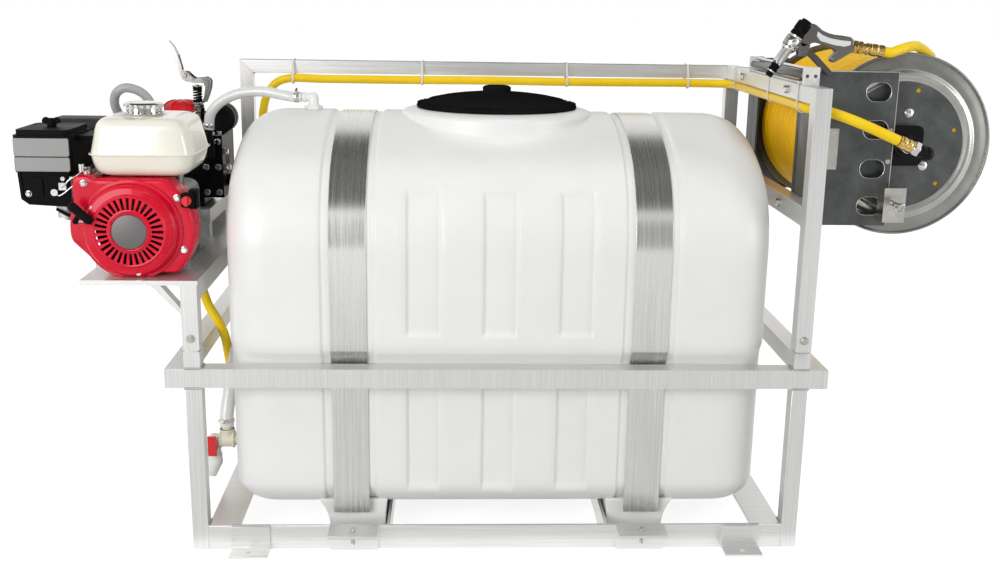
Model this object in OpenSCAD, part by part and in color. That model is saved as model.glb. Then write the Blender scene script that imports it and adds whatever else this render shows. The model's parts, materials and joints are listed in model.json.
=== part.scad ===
// Skid sprayer: a moulded tank strapped into an aluminium frame, with a petrol
// engine and diaphragm pump on the left and a hose reel on the right.
// Millimetres. X runs along the frame, the front faces -Y, and the origin is on the
// floor in the middle of the four hold-down holes.

/* [Frame] */
// Length over the posts
frame_w = 1220; // [1180:1:1260]
// Depth over the posts
frame_d = 762; // [750:1:790]
// Height of the top rails
frame_h = 927; // [900:1:960]
// Side of the square posts and top rails
post_w = 31.75; // [30:0.05:34]
// Side of the square tube of the belt ring
ring_w = 38.1; // [36:0.1:40]
// Height of the underside of the belt ring
ring_z = 340.5; // [338:0.5:343]
// Leg of the base angles
angle_w = 50.8; // [48:0.1:52]
// Thickness of the base angles
angle_t = 6.35; // [5:0.05:7]
// Wall of the square tubes
tube_t = 3.175; // [2.5:0.005:3.6]

/* [Hold-down feet] */
// Distance of each foot hole from the middle, along the frame
foot_x = 494; // [480:1:505]
// Length of a foot
foot_w = 76.2; // [70:0.1:80]
// Reach of a foot in front of the frame
foot_reach = 44.45; // [42:0.05:50]
// Distance of the foot hole from the face of the frame
foot_hole_out = 27; // [24:1:29]
// Diameter of the foot hole
foot_hole_d = 11; // [9:0.5:13]

/* [Tank] */
// Length of the tank
tank_l = 1066; // [1040:1:1090]
// Half depth of the tank above the belt
tank_half_d = 353; // [345:1:354]
// Height of the flat underside
tank_z0 = 66; // [62:1:70]
// Distance of each strap from the middle
strap_x = 296.5; // [290:0.5:300]
// Width of the straps
strap_w = 72; // [60:1:80]
// Depth of the moulded panels
panel_depth = 7; // [4:0.5:8]
// Bore of the filler neck
neck_bore = 330; // [300:1:334]

/* [Engine] */
// Height of the crankshaft
crank_z = 645; // [645:1:650]
// Number of air slots in the starter cover
starter_slots = 32; // [24:1:36]
// Number of blades on the flywheel
fan_blades = 18; // [12:1:24]

/* [Reel] */
// Diameter of the drum discs
disc_d = 366; // [340:1:370]
// Height of the drum shaft
reel_z = 806; // [800:1:810]
// Distance of the drum shaft from the middle of the frame
reel_x = 806; // [800:1:812]
// Outside diameter of the hose
hose_d = 20; // [18:0.5:21]

/* [Hidden] */
hw = frame_w / 2;
hd = frame_d / 2;
side_w = 63.5;
stub_top = ring_z + ring_w + 35;
sleeve_z = stub_top + 3;
spigot_top = sleeve_z + 63;
spigot_gap = 0.1;
bolt_z = sleeve_z + 23;
deck_top = 555;
deck_t = 4.8;
deck_x0 = -795;
deck_x1 = -575;
eng_x = -700.6;
eng_y = -hd;
rail_z = frame_h - post_w;
low_rail_z = 662;
low_rail_h = 38.1;
fine = 64;
eps = 0.01;

// ---------------------------------------------------------------- helpers

// A box from its low corner to its high corner
module span(a, b) {
    translate(a) cube(b - a);
}

// The same thing on the left and on the right
module both_x() {
    children();
    mirror([1, 0, 0]) children();
}

// The same thing at the front and at the back
module both_y() {
    children();
    mirror([0, 1, 0]) children();
}

// A cylinder along Y that starts at y = 0
module rod_y(r, h, fn = fine) {
    rotate([-90, 0, 0]) cylinder(r = r, h = h, $fn = fn);
}

// A cylinder along X that starts at x = 0
module rod_x(r, h, fn = fine) {
    rotate([0, 90, 0]) cylinder(r = r, h = h, $fn = fn);
}

// An outline in X and Z, pushed back along Y from y = 0
module slab_y(h) {
    translate([0, h, 0]) rotate([90, 0, 0]) linear_extrude(h) children();
}

// An outline in Y and Z, pushed along X, centred
module slab_x(h) {
    rotate([90, 0, 90]) linear_extrude(h, center = true) children();
}

// A rectangle with round corners, from its low corner to its high corner
module round_rect(a, b, r) {
    union() {
        translate([a[0] + r, a[1]]) square([b[0] - a[0] - 2 * r, b[1] - a[1]]);
        translate([a[0], a[1] + r]) square([b[0] - a[0], b[1] - a[1] - 2 * r]);
        for (x = [a[0] + r, b[0] - r], y = [a[1] + r, b[1] - r])
            translate([x, y]) circle(r, $fn = 32);
    }
}

// Points of an arc about (cx, cy), from angle a0 to a1 in n steps
function arc(cx, cy, r, a0, a1, n) =
    [for (i = [0:n]) let (a = a0 + (a1 - a0) * i / n) [cx + r * cos(a), cy + r * sin(a)]];

function unit(v) = v / norm(v);

// Direction of a route at point i
function heading(path, i) =
    unit(path[min(i + 1, len(path) - 1)] - path[max(i - 1, 0)]);

// Sideways vectors carried along a route without twisting
function carried(path, i, u) =
    let (t = heading(path, i)) unit(u - (u * t) * t);
function side_list(path, u0) =
    [for (i = 0, u = carried(path, 0, u0); i < len(path);
          i = i + 1, u = i < len(path) ? carried(path, i, u) : u) u];

// A smooth curve through hand-set points, with n steps between each two
function spline(p, n) = concat(
    [for (i = [0:len(p) - 2], k = [0:n - 1])
        let (t = k / n, a = p[max(i - 1, 0)], b = p[i], c = p[i + 1],
             d = p[min(i + 2, len(p) - 1)])
        0.5 * ((2 * b) + (c - a) * t + (2 * a - 5 * b + 4 * c - d) * t * t
               + (3 * b - a - 3 * c + d) * t * t * t)],
    [p[len(p) - 1]]);

// A round hose along a route: one ring of points a step, closed at both ends
module hose(path, r, sides = 10, up = [0, 0, 1]) {
    n = len(path);
    us = side_list(path, up);
    points = [for (i = [0:n - 1]) let (t = heading(path, i), u = us[i], v = cross(t, u))
        for (k = [0:sides - 1]) let (a = 360 * k / sides)
            path[i] + r * (cos(a) * u + sin(a) * v)];
    walls = [for (i = [0:n - 2], k = [0:sides - 1]) let (m = (k + 1) % sides)
        [i * sides + k, (i + 1) * sides + k, (i + 1) * sides + m, i * sides + m]];
    ends = [[for (k = [0:sides - 1]) k],
            [for (k = [sides - 1:-1:0]) (n - 1) * sides + k]];
    polyhedron(points, concat(walls, ends), convexity = 6);
}

// ---------------------------------------------------------------- frame

// Angle bar along X: upright at the outer face, flange inward on the floor
module angle_bar(length, upright, flange) {
    slab_x(length) polygon([[0, 0], [flange, 0], [flange, angle_t], [angle_t, angle_t],
                            [angle_t, upright], [0, upright]]);
}

module base_front_back() {
    color("gainsboro")
    both_y() translate([0, -hd, 0]) angle_bar(frame_w - 2 * post_w, angle_w, angle_w);
}

// Side members: a wide flange on top and an upright against the posts
module base_ends() {
    x1 = hw - post_w;
    length = frame_d - 2 * angle_t;
    color("gainsboro")
    both_x() translate([0, length / 2, 0]) rotate([90, 0, 0]) linear_extrude(length)
        polygon([[x1 - side_w, angle_w - angle_t], [x1 - angle_t, angle_w - angle_t],
                 [x1 - angle_t, angle_t], [x1, angle_t], [x1, angle_w],
                 [x1 - side_w, angle_w]]);
}

module base_frame() {
    base_front_back();
    base_ends();
}

cradle_x = 216.5;
cradle_w = 127;

// Bent plates under the tank feet: an upright inboard and a wide base
module tank_cradles() {
    y_in = hd - angle_w;
    y_out = hd - angle_t;
    color("silver")
    both_x() {
        span([cradle_x, -y_in, 0], [cradle_x + cradle_w, y_in, angle_t]);
        span([cradle_x, -y_out, angle_t], [cradle_x + angle_t, y_out, angle_w]);
    }
}

module hold_down_feet() {
    color("gainsboro")
    both_x() both_y() difference() {
        union() {
            span([foot_x - foot_w / 2, -hd - angle_t, 0], [foot_x + foot_w / 2, -hd, angle_w]);
            span([foot_x - foot_w / 2, -hd - foot_reach, 0],
                 [foot_x + foot_w / 2, -hd - angle_t + eps, angle_t]);
        }
        translate([foot_x, -hd - foot_hole_out, -1])
            cylinder(d = foot_hole_d, h = angle_t + 2, $fn = fine);
    }
}

clip_x = 288.5;
clip_w = 97;
clip_hole_out = 25.4;

// Angle clips that the strap bolts pull against
module strap_clips() {
    color("silver")
    both_x() both_y() difference() {
        union() {
            span([clip_x - clip_w / 2, -hd - angle_t, 0], [clip_x + clip_w / 2, -hd, angle_w]);
            span([clip_x - clip_w / 2, -hd - angle_w, angle_w - angle_t],
                 [clip_x + clip_w / 2, -hd - angle_t + eps, angle_w]);
        }
        translate([clip_x, -hd - clip_hole_out, angle_w - angle_t - 1])
            cylinder(d = 9, h = angle_t + 2, $fn = fine);
    }
}

// Square tube standing at a corner of the frame, from z0 to z1
module corner_tube(z0, z1) {
    difference() {
        span([hw - post_w, -hd, z0], [hw, -hd + post_w, z1]);
        span([hw - post_w + tube_t, -hd + tube_t, z0 - 1],
             [hw - tube_t, -hd + post_w - tube_t, z1 + 1]);
    }
}

module lower_posts() {
    color("silver") both_x() both_y() corner_tube(0, ring_z);
}

// One mitred side of a ring: outer edge on y = 0, length over the corners
module mitred_side(length) {
    e = 1;
    translate([0, 0, ring_z]) difference() {
        linear_extrude(ring_w) polygon([[-length / 2, 0], [length / 2, 0],
            [length / 2 - ring_w, ring_w], [-length / 2 + ring_w, ring_w]]);
        translate([0, 0, tube_t]) linear_extrude(ring_w - 2 * tube_t) polygon([
            [-length / 2 + tube_t - e, tube_t], [length / 2 - tube_t + e, tube_t],
            [length / 2 - ring_w + tube_t + e, ring_w - tube_t],
            [-length / 2 + ring_w - tube_t - e, ring_w - tube_t]]);
    }
}

module ring_tubes() {
    color("silver") {
        both_y() translate([0, -hd, 0]) mitred_side(frame_w + 2 * ring_w);
        both_x() translate([hw + ring_w, 0, 0]) rotate([0, 0, 90]) mitred_side(frame_d);
    }
}

// Stubs on the ring, each with a spigot that fills the upper post
module stubs() {
    s = tube_t + spigot_gap;
    w = 3;
    color("gray")
    both_x() both_y() difference() {
        union() {
            span([hw - post_w, -hd, ring_z + ring_w], [hw, -hd + post_w, stub_top]);
            span([hw - post_w + s, -hd + s, stub_top - eps], [hw - s, -hd + post_w - s, spigot_top]);
        }
        span([hw - post_w + s + w, -hd + s + w, ring_z + ring_w + w],
             [hw - s - w, -hd + post_w - s - w, spigot_top + 1]);
        translate([hw - post_w / 2, -hd - 1, bolt_z]) rod_y(4.1, post_w + 2);
    }
}

module belt_ring() {
    ring_tubes();
    stubs();
}

// The upper posts: two to the top rail on the right, one cut to a mitre at the back
// left and one that stops under the engine deck
module upper_posts() {
    bore_r = 4.1;
    color("silver") difference() {
        union() {
            both_y() difference() {
                span([hw - post_w, -hd, sleeve_z], [hw, -hd + post_w, frame_h]);
                span([hw - post_w + tube_t, -hd + tube_t, sleeve_z - 1],
                     [hw - tube_t, -hd + post_w - tube_t, frame_h - tube_t]);
            }
            mirror([1, 0, 0]) corner_tube(sleeve_z, deck_top - deck_t);
            difference() {
                translate([0, hd - post_w, 0]) slab_y(post_w)
                    polygon([[-hw, sleeve_z], [-hw + post_w, sleeve_z],
                             [-hw + post_w, rail_z], [-hw, frame_h]]);
                span([-hw + tube_t, hd - post_w + tube_t, sleeve_z - 1],
                     [-hw + post_w - tube_t, hd - tube_t, frame_h]);
            }
        }
        both_x() both_y() translate([hw - post_w / 2, -hd - 1, bolt_z])
            rod_y(bore_r, post_w + 2);
    }
}

// Back rail, mitred at the left, and the right side rail that carries the reel
module top_rails() {
    x1 = hw - post_w;
    color("silver") {
        difference() {
            translate([0, hd - post_w, 0]) slab_y(post_w)
                polygon([[-hw, frame_h], [-hw + post_w, rail_z], [x1, rail_z], [x1, frame_h]]);
            translate([0, hd - post_w + tube_t, 0]) slab_y(post_w - 2 * tube_t)
                polygon([[-hw + tube_t - 1, frame_h - tube_t], [-hw + post_w - tube_t - 1, rail_z + tube_t],
                         [x1 + 1, rail_z + tube_t], [x1 + 1, frame_h - tube_t]]);
        }
        difference() {
            span([x1, -hd + post_w, rail_z], [hw, hd - post_w, frame_h]);
            span([x1 + tube_t, -hd + post_w - 1, rail_z + tube_t],
                 [hw - tube_t, hd - post_w + 1, frame_h - tube_t]);
        }
    }
}

module side_rails() {
    top_rails();
    low_rail();
}

// Bolts through the sleeves: a hexagon head in front and a nut behind
module frame_bolts() {
    color("lightgray")
    both_x() both_y() translate([hw - post_w / 2, -hd, bolt_z]) {
        translate([0, -1.5, 0]) rod_y(8.5, 1.5);
        translate([0, -6.5, 0]) rod_y(6.5, 5, 6);
        translate([0, -0.5, 0]) rod_y(4, post_w + 1);
        translate([0, post_w, 0]) rod_y(6.5, 6, 6);
    }
}

// Lower side rail for the reel, between the right posts
module low_rail() {
    color("silver") difference() {
        span([hw - post_w, -hd + post_w, low_rail_z], [hw, hd - post_w, low_rail_z + low_rail_h]);
        span([hw - post_w + tube_t, -hd + post_w - 1, low_rail_z + tube_t],
             [hw - tube_t, hd - post_w + 1, low_rail_z + low_rail_h - tube_t]);
    }
}

deck_lip = 4.8;
hose_hole = [-694, 284];

// Deck for the engine and pump, with a turned-down lip and a rail between the posts
module deck_plate() {
    z0 = deck_top - deck_t;
    lip = 9.5;
    color("gainsboro") {
        difference() {
            union() {
                span([deck_x0, -hd - deck_lip, z0], [deck_x1, hd + deck_lip, deck_top]);
                both_y() span([deck_x0, -hd - deck_lip, deck_top - lip], [deck_x1, -hd, z0 + eps]);
                span([deck_x0, -hd - deck_lip, deck_top - lip], [deck_x0 + deck_t, hd + deck_lip, z0 + eps]);
            }
            span([-hw - 0.3, hd - post_w - 0.3, z0 - 1], [-hw + post_w + 0.3, hd + 0.3, deck_top + 1]);
            translate([hose_hole[0], hose_hole[1], z0 - 1]) cylinder(r = 26, h = deck_t + 2, $fn = fine);
        }
        difference() {
            span([-hw, -hd + post_w, z0 - 38.1], [-hw + post_w, hd - post_w, z0]);
            span([-hw + tube_t, -hd + post_w - 1, z0 - 38.1 + tube_t],
                 [-hw + post_w - tube_t, hd - post_w + 1, z0 - tube_t]);
        }
    }
}

// Slanted bars that hold up the overhanging deck
module deck_braces() {
    z0 = deck_top - deck_t;
    bar = 25.4;
    color("silver")
    both_y() translate([0, -hd + 3, 0]) slab_y(bar)
        polygon([[-hw - 62, z0], [-hw - 42, z0], [-hw, z0 - 52], [-hw, z0 - 64]]);
}

module engine_deck() {
    deck_plate();
    deck_braces();
    pump_stand();
}

// ---------------------------------------------------------------- tank

tank_y_low = 337;
foot_r = 60;
shoulder_r = 200;
shoulder_a = 62;
shoulder_z = 604;
end_r = 85;
end_in = 56;
belt_lo = 383;
belt_hi = 405;
shoulder_y = tank_half_d - shoulder_r;
crown_r = (shoulder_y + shoulder_r * cos(shoulder_a)) / cos(shoulder_a);
crown_z = shoulder_z + (shoulder_r - crown_r) * sin(shoulder_a);

// One half of the tank's section, from the middle of the underside to the crown.
// Each point is y, z, its outward normal, and how much of the panel recess it takes.
function on_arc(cy, cz, r, a, panel) =
    [cy + r * cos(a), cz + r * sin(a), cos(a), sin(a), panel];
half_section = concat(
    [[0, tank_z0, 0, -1, 0], [tank_y_low - foot_r, tank_z0, 0, -1, 0]],
    [for (a = [-67.5, -45, -22.5]) on_arc(tank_y_low - foot_r, tank_z0 + foot_r, foot_r, a, 0)],
    [[tank_y_low, tank_z0 + foot_r, 1, 0, 1], [tank_y_low, 322, 1, 0, 1],
     [tank_y_low, 330, 1, 0, 0], [tank_y_low, belt_lo, 0.94, -0.34, 0],
     [tank_half_d, belt_hi, 0.94, -0.34, 0], [tank_half_d, 437, 1, 0, 0],
     [tank_half_d, 445, 1, 0, 1]],
    [for (a = [0, 12, 24, 32]) on_arc(shoulder_y, shoulder_z, shoulder_r, a, 1)],
    [for (a = [36, 45, 53.5, 62]) on_arc(shoulder_y, shoulder_z, shoulder_r, a, 0)],
    [for (a = [67, 73, 79, 85, 90]) on_arc(0, crown_z, crown_r, a, 0)]);
half_n = len(half_section);
section = concat(half_section,
    [for (i = [half_n - 2:-1:1]) let (p = half_section[i]) [-p[0], p[1], -p[2], p[3], p[4]]]);
section_n = len(section);

// Where along the tank a ring of points stands: x, inset of the end, groove, panel
panel_x = [-150, 0, 150];
panel_half = 36;
groove_half = strap_w / 2 + 20;
groove_d = 5;
function end_stations(s, length) =
    [for (a = [90, 70, 50, 30, 15, 0])
        [s * (length / 2 - end_r + end_r * sin(a)), end_in * (1 - cos(a)), 0, 0]];
function edge_pair(x, half, groove, panel) =
    [[x - half, 0, 0, 0], [x - half + 6, 0, groove, panel],
     [x + half - 6, 0, groove, panel], [x + half, 0, 0, 0]];
function reversed(v) = [for (i = [len(v) - 1:-1:0]) v[i]];
stations = concat(end_stations(-1, tank_l),
    edge_pair(-strap_x, groove_half, groove_d, 0),
    [for (x = panel_x) each edge_pair(x, panel_half, 0, panel_depth)],
    edge_pair(strap_x, groove_half, groove_d, 0),
    reversed(end_stations(1, tank_l)));

// A closed skin over a list of stations, set in by a wall
module skin(st, wall) {
    n = section_n;
    m = len(st);
    points = [for (s = st, p = section)
        let (d = wall + s[1] + (p[1] > tank_z0 + 1 ? s[2] : 0) + s[3] * p[4])
        [s[0], p[0] - d * p[2], p[1] - d * p[3]]];
    sides = [for (i = [0:m - 2], k = [0:n - 1]) let (j = (k + 1) % n)
        [i * n + k, (i + 1) * n + k, (i + 1) * n + j, i * n + j]];
    caps = [[for (k = [0:n - 1]) k], [for (k = [n - 1:-1:0]) (m - 1) * n + k]];
    polyhedron(points, concat(sides, caps), convexity = 8);
}

inner_wall = 11;
inner_l = tank_l - 2 * inner_wall;
inner_stations = concat(end_stations(-1, inner_l), reversed(end_stations(1, inner_l)));
neck_r = 205;
neck_top = 852;

foot_inner = 228;
foot_outer = 343;

// A moulded foot under the tank, wider where it joins the underside
module tank_foot() {
    y0 = 321;
    flare = 20;
    z0 = angle_t;
    zj = tank_z0 + 22;
    translate([0, y0, 0]) rotate([90, 0, 0]) linear_extrude(2 * y0)
        polygon([[foot_inner, z0], [foot_outer, z0], [foot_outer + 4, z0 + 12],
                 [foot_outer + flare, zj], [foot_inner - 2, zj], [foot_inner, z0 + 12]]);
}

module tank_shell() {
    color("whitesmoke") difference() {
        skin(stations, 0);
        skin(inner_stations, inner_wall);
        translate([0, 0, 780]) cylinder(d = neck_bore, h = 90, $fn = 96);
    }
}

// Filler neck: a ring moulded on the crown, cut to the shape of the crown
module tank_neck() {
    color("whitesmoke") difference() {
        rotate_extrude($fn = 96) polygon(concat(
            [[neck_bore / 2, 794], [neck_r, 794]],
            arc(neck_r - 9, neck_top - 14, 9, 0, 80, 3),
            [[neck_bore / 2 + 8, neck_top], [neck_bore / 2, neck_top]]));
        slab_x(2 * neck_r + 20) polygon([for (p = section) [p[0], p[1]]]);
    }
}

// The underside of the tank between two places along it, for cutting the feet
module underside(x0, x1, groove) {
    translate([x0, 0, 0]) rotate([90, 0, 90]) linear_extrude(x1 - x0)
        polygon([for (p = section) if (p[1] < tank_z0 + foot_r + 1)
            let (d = p[1] > tank_z0 + 1 ? groove : 0) [p[0] - d * p[2], p[1] - d * p[3]]]);
}

module tank_feet() {
    near = strap_x - groove_half + 6;
    far = strap_x + groove_half - 6;
    color("whitesmoke") both_x() difference() {
        tank_foot();
        underside(foot_inner - 10, near, 0);
        underside(near, far, groove_d);
        underside(far, foot_outer + 30, 0);
    }
}

lid_r = 172.5;

// Domed lid with a skirt inside the neck, a rim, and a vent knob
module tank_lid() {
    gap = 0.3;
    z0 = neck_top + gap;
    skirt_r = neck_bore / 2 - 1;
    color("black") rotate_extrude($fn = 96) polygon(concat(
        [[skirt_r - 4, z0 - 24], [skirt_r, z0 - 24], [skirt_r, z0], [lid_r, z0]],
        [[lid_r, z0 + 8], [lid_r - 3, z0 + 10], [152, z0 + 12], [140, z0 + 18]],
        [[90, z0 + 27], [40, z0 + 31], [30, z0 + 32]],
        [[30, z0 + 38], [27, z0 + 44], [22, z0 + 46], [0, z0 + 46], [0, z0 + 26]],
        [[40, z0 + 26], [88, z0 + 22], [136, z0 + 13], [skirt_r - 4, z0 + 6]]));
}

strap_t = 3;
strap_end_z = 58;

// Outline of the strap in Y and Z: it follows the bottom of the groove
function strap_side(d) = concat(
    [[tank_y_low - groove_d + d, strap_end_z]],
    [[tank_y_low - groove_d + d, belt_lo - 2], [tank_half_d - groove_d + d, belt_hi - 2]],
    arc(shoulder_y, shoulder_z, shoulder_r - groove_d + d, 0, shoulder_a, 12),
    arc(0, crown_z, crown_r - groove_d + d, shoulder_a + 3, 90, 8));
module tank_straps() {
    gap = 0.6;
    outer = strap_side(gap + strap_t);
    inner = strap_side(gap);
    hook_y = tank_y_low - groove_d;
    color("silver")
    both_x() difference() {
        translate([strap_x, 0, 0]) slab_x(strap_w) both_x() polygon(concat(outer, reversed(inner)));
        both_y() translate([clip_x, hook_y - 5, strap_hole_z]) rod_y(5.5, 15);
    }
}

strap_hole_z = 80;
jbolt_r = 4;

// J-bolts: a threaded leg down through the clip, and a hook through the strap
module strap_bolts() {
    y0 = -hd - clip_hole_out;
    y1 = -(tank_y_low - groove_d) + 5;
    bend = 10;
    color("dimgray")
    both_x() both_y() translate([clip_x, y0, 0]) {
        translate([0, 0, 22]) cylinder(r = jbolt_r, h = strap_hole_z - bend - 22, $fn = 24);
        translate([0, bend, strap_hole_z - bend]) rotate([90, 0, 0]) rotate([0, 90, 0])
            rotate([0, 0, 90]) rotate_extrude(angle = 90, $fn = 48)
                translate([bend, 0]) circle(jbolt_r, $fn = 24);
        translate([0, bend, strap_hole_z]) rod_y(jbolt_r, y1 - y0 - bend, 24);
        translate([0, 0, angle_w - angle_t - 8]) cylinder(r = 7.5, h = 6.5, $fn = 6);
        translate([0, 0, angle_w - angle_t - 1.5]) cylinder(r = 8.5, h = 1.5, $fn = 32);
    }
}

// ---------------------------------------------------------------- tank fittings

elbow_x = -393;
elbow_z = 868;
crown_top = crown_z + crown_r;

// Bulkhead nut on the crown and a hose elbow that points left
module return_elbow() {
    z0 = crown_top + 0.3;
    color("white") translate([elbow_x, 0, 0]) {
        translate([0, 0, z0]) cylinder(r = 18, h = 7, $fn = 6);
        translate([0, 0, z0 + 7]) cylinder(r = 11, h = elbow_z - z0 - 7, $fn = fine);
        translate([0, 0, elbow_z]) sphere(r = 11, $fn = 48);
        translate([-24, 0, elbow_z]) rod_x(9, 24);
        translate([-50, 0, elbow_z]) rod_x(6.5, 27);
    }
}

return_path = spline([[elbow_x - 25, 0, elbow_z], [-440, 0, elbow_z + 0.6], [-462, 2, 872],
                      [-500, 6, 878], [-545, 11, 875],
                      [-588, 15, 858], [-616, 17, 830], [-622, 18, 795]], 4);
module return_hose() {
    color("lightgray") difference() {
        hose(return_path, 11);
        translate([elbow_x - 51, 0, elbow_z]) rod_x(6.8, 28);
        translate([-622, 18, 790]) cylinder(r = 6.8, h = 16, $fn = 32);
    }
}

tee_x = -578;
tee_y = -150;
tee_z = 146;
valve_x = -607;

// Nipple from the end of the tank, and a tee with a branch up to the pump
module outlet_tee() {
    wall_x = -tank_l / 2 - 0.3;
    color("ivory") translate([0, tee_y, tee_z]) {
        translate([wall_x - 9, 0, 0]) rod_x(22, 9, 6);
        translate([tee_x, 0, 0]) rod_x(13, wall_x - 9 - tee_x);
        translate([tee_x - 16, 0, 0]) rod_x(17, 32);
        translate([tee_x, 0, 0]) cylinder(r = 15, h = 24, $fn = fine);
        translate([tee_x, 0, 24]) cylinder(r = 10.5, h = 26, $fn = fine);
    }
}

z_low = 95;

// The slanted mouth of the drain elbow
module drain_spout() {
    translate([valve_x, tee_y, z_low]) rotate([0, 180 + 25, 0]) children();
}

// Ball valve under the elbow beside the tee, and the drain elbow below it
module drain_valve() {
    color("ivory") {
        translate([valve_x, tee_y, tee_z]) rod_x(12, tee_x - 16 - valve_x);
        translate([valve_x, tee_y, tee_z]) sphere(r = 12.9, $fn = 48);
        translate([valve_x, tee_y, 112]) cylinder(r = 12.4, h = tee_z - 112, $fn = fine);
        translate([valve_x, tee_y, 112]) cylinder(r = 14, h = 16.7, $fn = fine);
        translate([valve_x, tee_y - 19, 130]) rod_y(4.5, 10);
        difference() {
            union() {
                translate([valve_x, tee_y, z_low]) cylinder(r = 16, h = 18, $fn = fine);
                translate([valve_x, tee_y, z_low]) sphere(r = 16.6, $fn = 48);
                drain_spout() cylinder(r = 16, h = 30, $fn = fine);
            }
            drain_spout() translate([0, 0, 6]) cylinder(r = 12.5, h = 25, $fn = fine);
        }
    }
}

// Red bar handle on the front of the ball valve
module valve_handle() {
    y0 = tee_y - 26;
    color("red") translate([valve_x, y0, 130]) difference() {
        union() {
            rod_y(10, 10);
            translate([-9, 0, -14]) cube([18, 5, 44]);
        }
        translate([0, 3, 0]) rod_y(4.55, 8);
    }
}

suction_path = concat(
    spline([[tee_x, tee_y, tee_z + 30], [tee_x, tee_y + 4, 205], [-567, -112, 290],
            [-558, -58, 362], [-553, 20, 432], [-552, 80, 510], [-553, 102, 590],
            [-558, 104, 648]], 4),
    [for (a = [15:15:90]) [-582 + 24 * cos(a), 104, 648 + 24 * sin(a)]],
    [[-590.2, 104, 672]]);
module suction_hose() {
    color("darkgray") difference() {
        hose(suction_path, 15);
        translate([tee_x, tee_y, tee_z + 24]) cylinder(r = 10.8, h = 27, $fn = fine);
    }
}

// ---------------------------------------------------------------- engine

// Everything on the engine is set out from the crankshaft at the front of the frame
module engine_place() {
    translate([eng_x, eng_y, crank_z]) children();
}

case_y0 = 88.3;
case_y1 = 256;
shaft_r = 12;
shaft_gap = 0.05;
head_tilt = -65;
barrel_y = 180;
head_r0 = 112.3;
cover_r0 = 142;

// A box in the tilted frame of the cylinder: x across, y along the crank, z outward
module tilted() {
    rotate([0, head_tilt, 0]) children();
}

// Crankcase with a foot, a side cover, and the finned cylinder leaning left
module crankcase() {
    foot_z = deck_top - crank_z;
    color("darkgray") engine_place() difference() {
        union() {
            translate([0, case_y0, 0]) slab_y(case_y1 - case_y0)
                round_rect([-78, foot_z + 12], [82, 66], 22);
            span([-92, case_y0 + 8, foot_z], [92, case_y1 - 10, foot_z + 13]);
            translate([0, case_y1 - eps, 0]) rod_y(60, 14);
            translate([0, case_y1 + 13, 0]) rod_y(26, 14);
            tilted() {
                translate([-40, barrel_y - 48, 40]) cube([80, 96, head_r0 - 0.3 - 40]);
                for (r = [66:9:head_r0 - 8]) translate([-44, barrel_y - 54, r]) cube([88, 108, 3]);
            }
            translate([62, 118, foot_z + 40]) rotate([0, 60, 0]) cylinder(r = 13, h = 34, $fn = 32);
        }
        translate([0, case_y0 + 10, 0]) slab_y(case_y1 - case_y0 - 20)
            round_rect([-68, foot_z + 22], [72, 56], 14);
        tilted() translate([0, barrel_y, 20]) cylinder(r = 34, h = head_r0, $fn = fine);
        translate([0, case_y0 - 1, 0]) rod_y(shaft_r + shaft_gap, case_y1 - case_y0 + 32);
        for (x = [-82, 82], y = [case_y0 + 24, case_y1 - 30])
            translate([x, y, foot_z - 1]) cylinder(d = 9, h = 15, $fn = 32);
    }
}

// Finned head, valve cover and spark plug cap
module cylinder_head() {
    color("gray") engine_place() {
        tilted() {
            translate([-38, barrel_y - 50, head_r0]) cube([74, 100, cover_r0 - head_r0]);
            for (r = [head_r0 + 4:8:cover_r0 - 6]) translate([-42, barrel_y - 56, r]) cube([82, 112, 3]);
            translate([0, barrel_y - 40, cover_r0]) slab_y(80) round_rect([-28, -2], [26, 28], 9);
        }
        translate([-108, barrel_y + 40, 74]) rod_y(11, 30);
        translate([-112, barrel_y - 68, 70]) rod_y(11, 26);
    }
    color("black") engine_place() translate([-136, barrel_y + 10, 18]) rotate([0, 200, 0])
        cylinder(r = 10, h = 34, $fn = 32);
}

flywheel_y = 62;
shaft_end_y = 330;

// Crankshaft with its throw, flywheel and fan
module crankshaft() {
    throw = 26;
    web_y = [barrel_y - 24, barrel_y + 12];
    color("dimgray") engine_place() {
        translate([0, 30, 0]) rod_y(shaft_r, web_y[0] - 30 + 1);
        translate([0, web_y[1] + 11, 0]) rod_y(shaft_r, shaft_end_y - web_y[1] - 11);
        for (y = web_y) translate([0, y, 0]) slab_y(12) union() {
            circle(r = 30, $fn = fine);
            translate([throw, 0]) circle(r = 15, $fn = fine);
            translate([-20, 0]) circle(r = 30, $fn = fine);
        }
        translate([throw, web_y[0] + 11, 0]) rod_y(10, web_y[1] - web_y[0] - 10);
        translate([0, flywheel_y, 0]) rod_y(78, 22, 96);
        translate([0, flywheel_y - 22, 0]) difference() {
            rod_y(36, 22.5);
            translate([0, -1, 0]) rod_y(32, 20);
        }
        for (i = [0:fan_blades - 1]) rotate([0, i * 360 / fan_blades, 0])
            translate([48, flywheel_y - 16, -1.5]) cube([28, 17, 3]);
    }
}

cover_y0 = 32;
cover_wall = 2.5;

// Outline of the fan cover: a round scroll with a shoulder on the left and a slanted lower left side
module fan_outline(d) {
    intersection() {
        union() {
            circle(r = 117 - d, $fn = 96);
            polygon([[-107 + d, 6 + 0.6 * d], [-46 + d, -76 + 0.6 * d], [0, -76 + d], [60, 0],
                     [60, 103 - d], [-99, 103 - d], [-107 + d, 95 - 0.6 * d]]);
        }
        difference() {
            translate([-130, -84 + d]) square([260, 187 - 2 * d]);
            translate([-73 - d, 96.5 - d]) square([240, 20]);
            rotate(45) translate([-140, -130]) square([140 - 97 + d, 260]);
        }
    }
}

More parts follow.
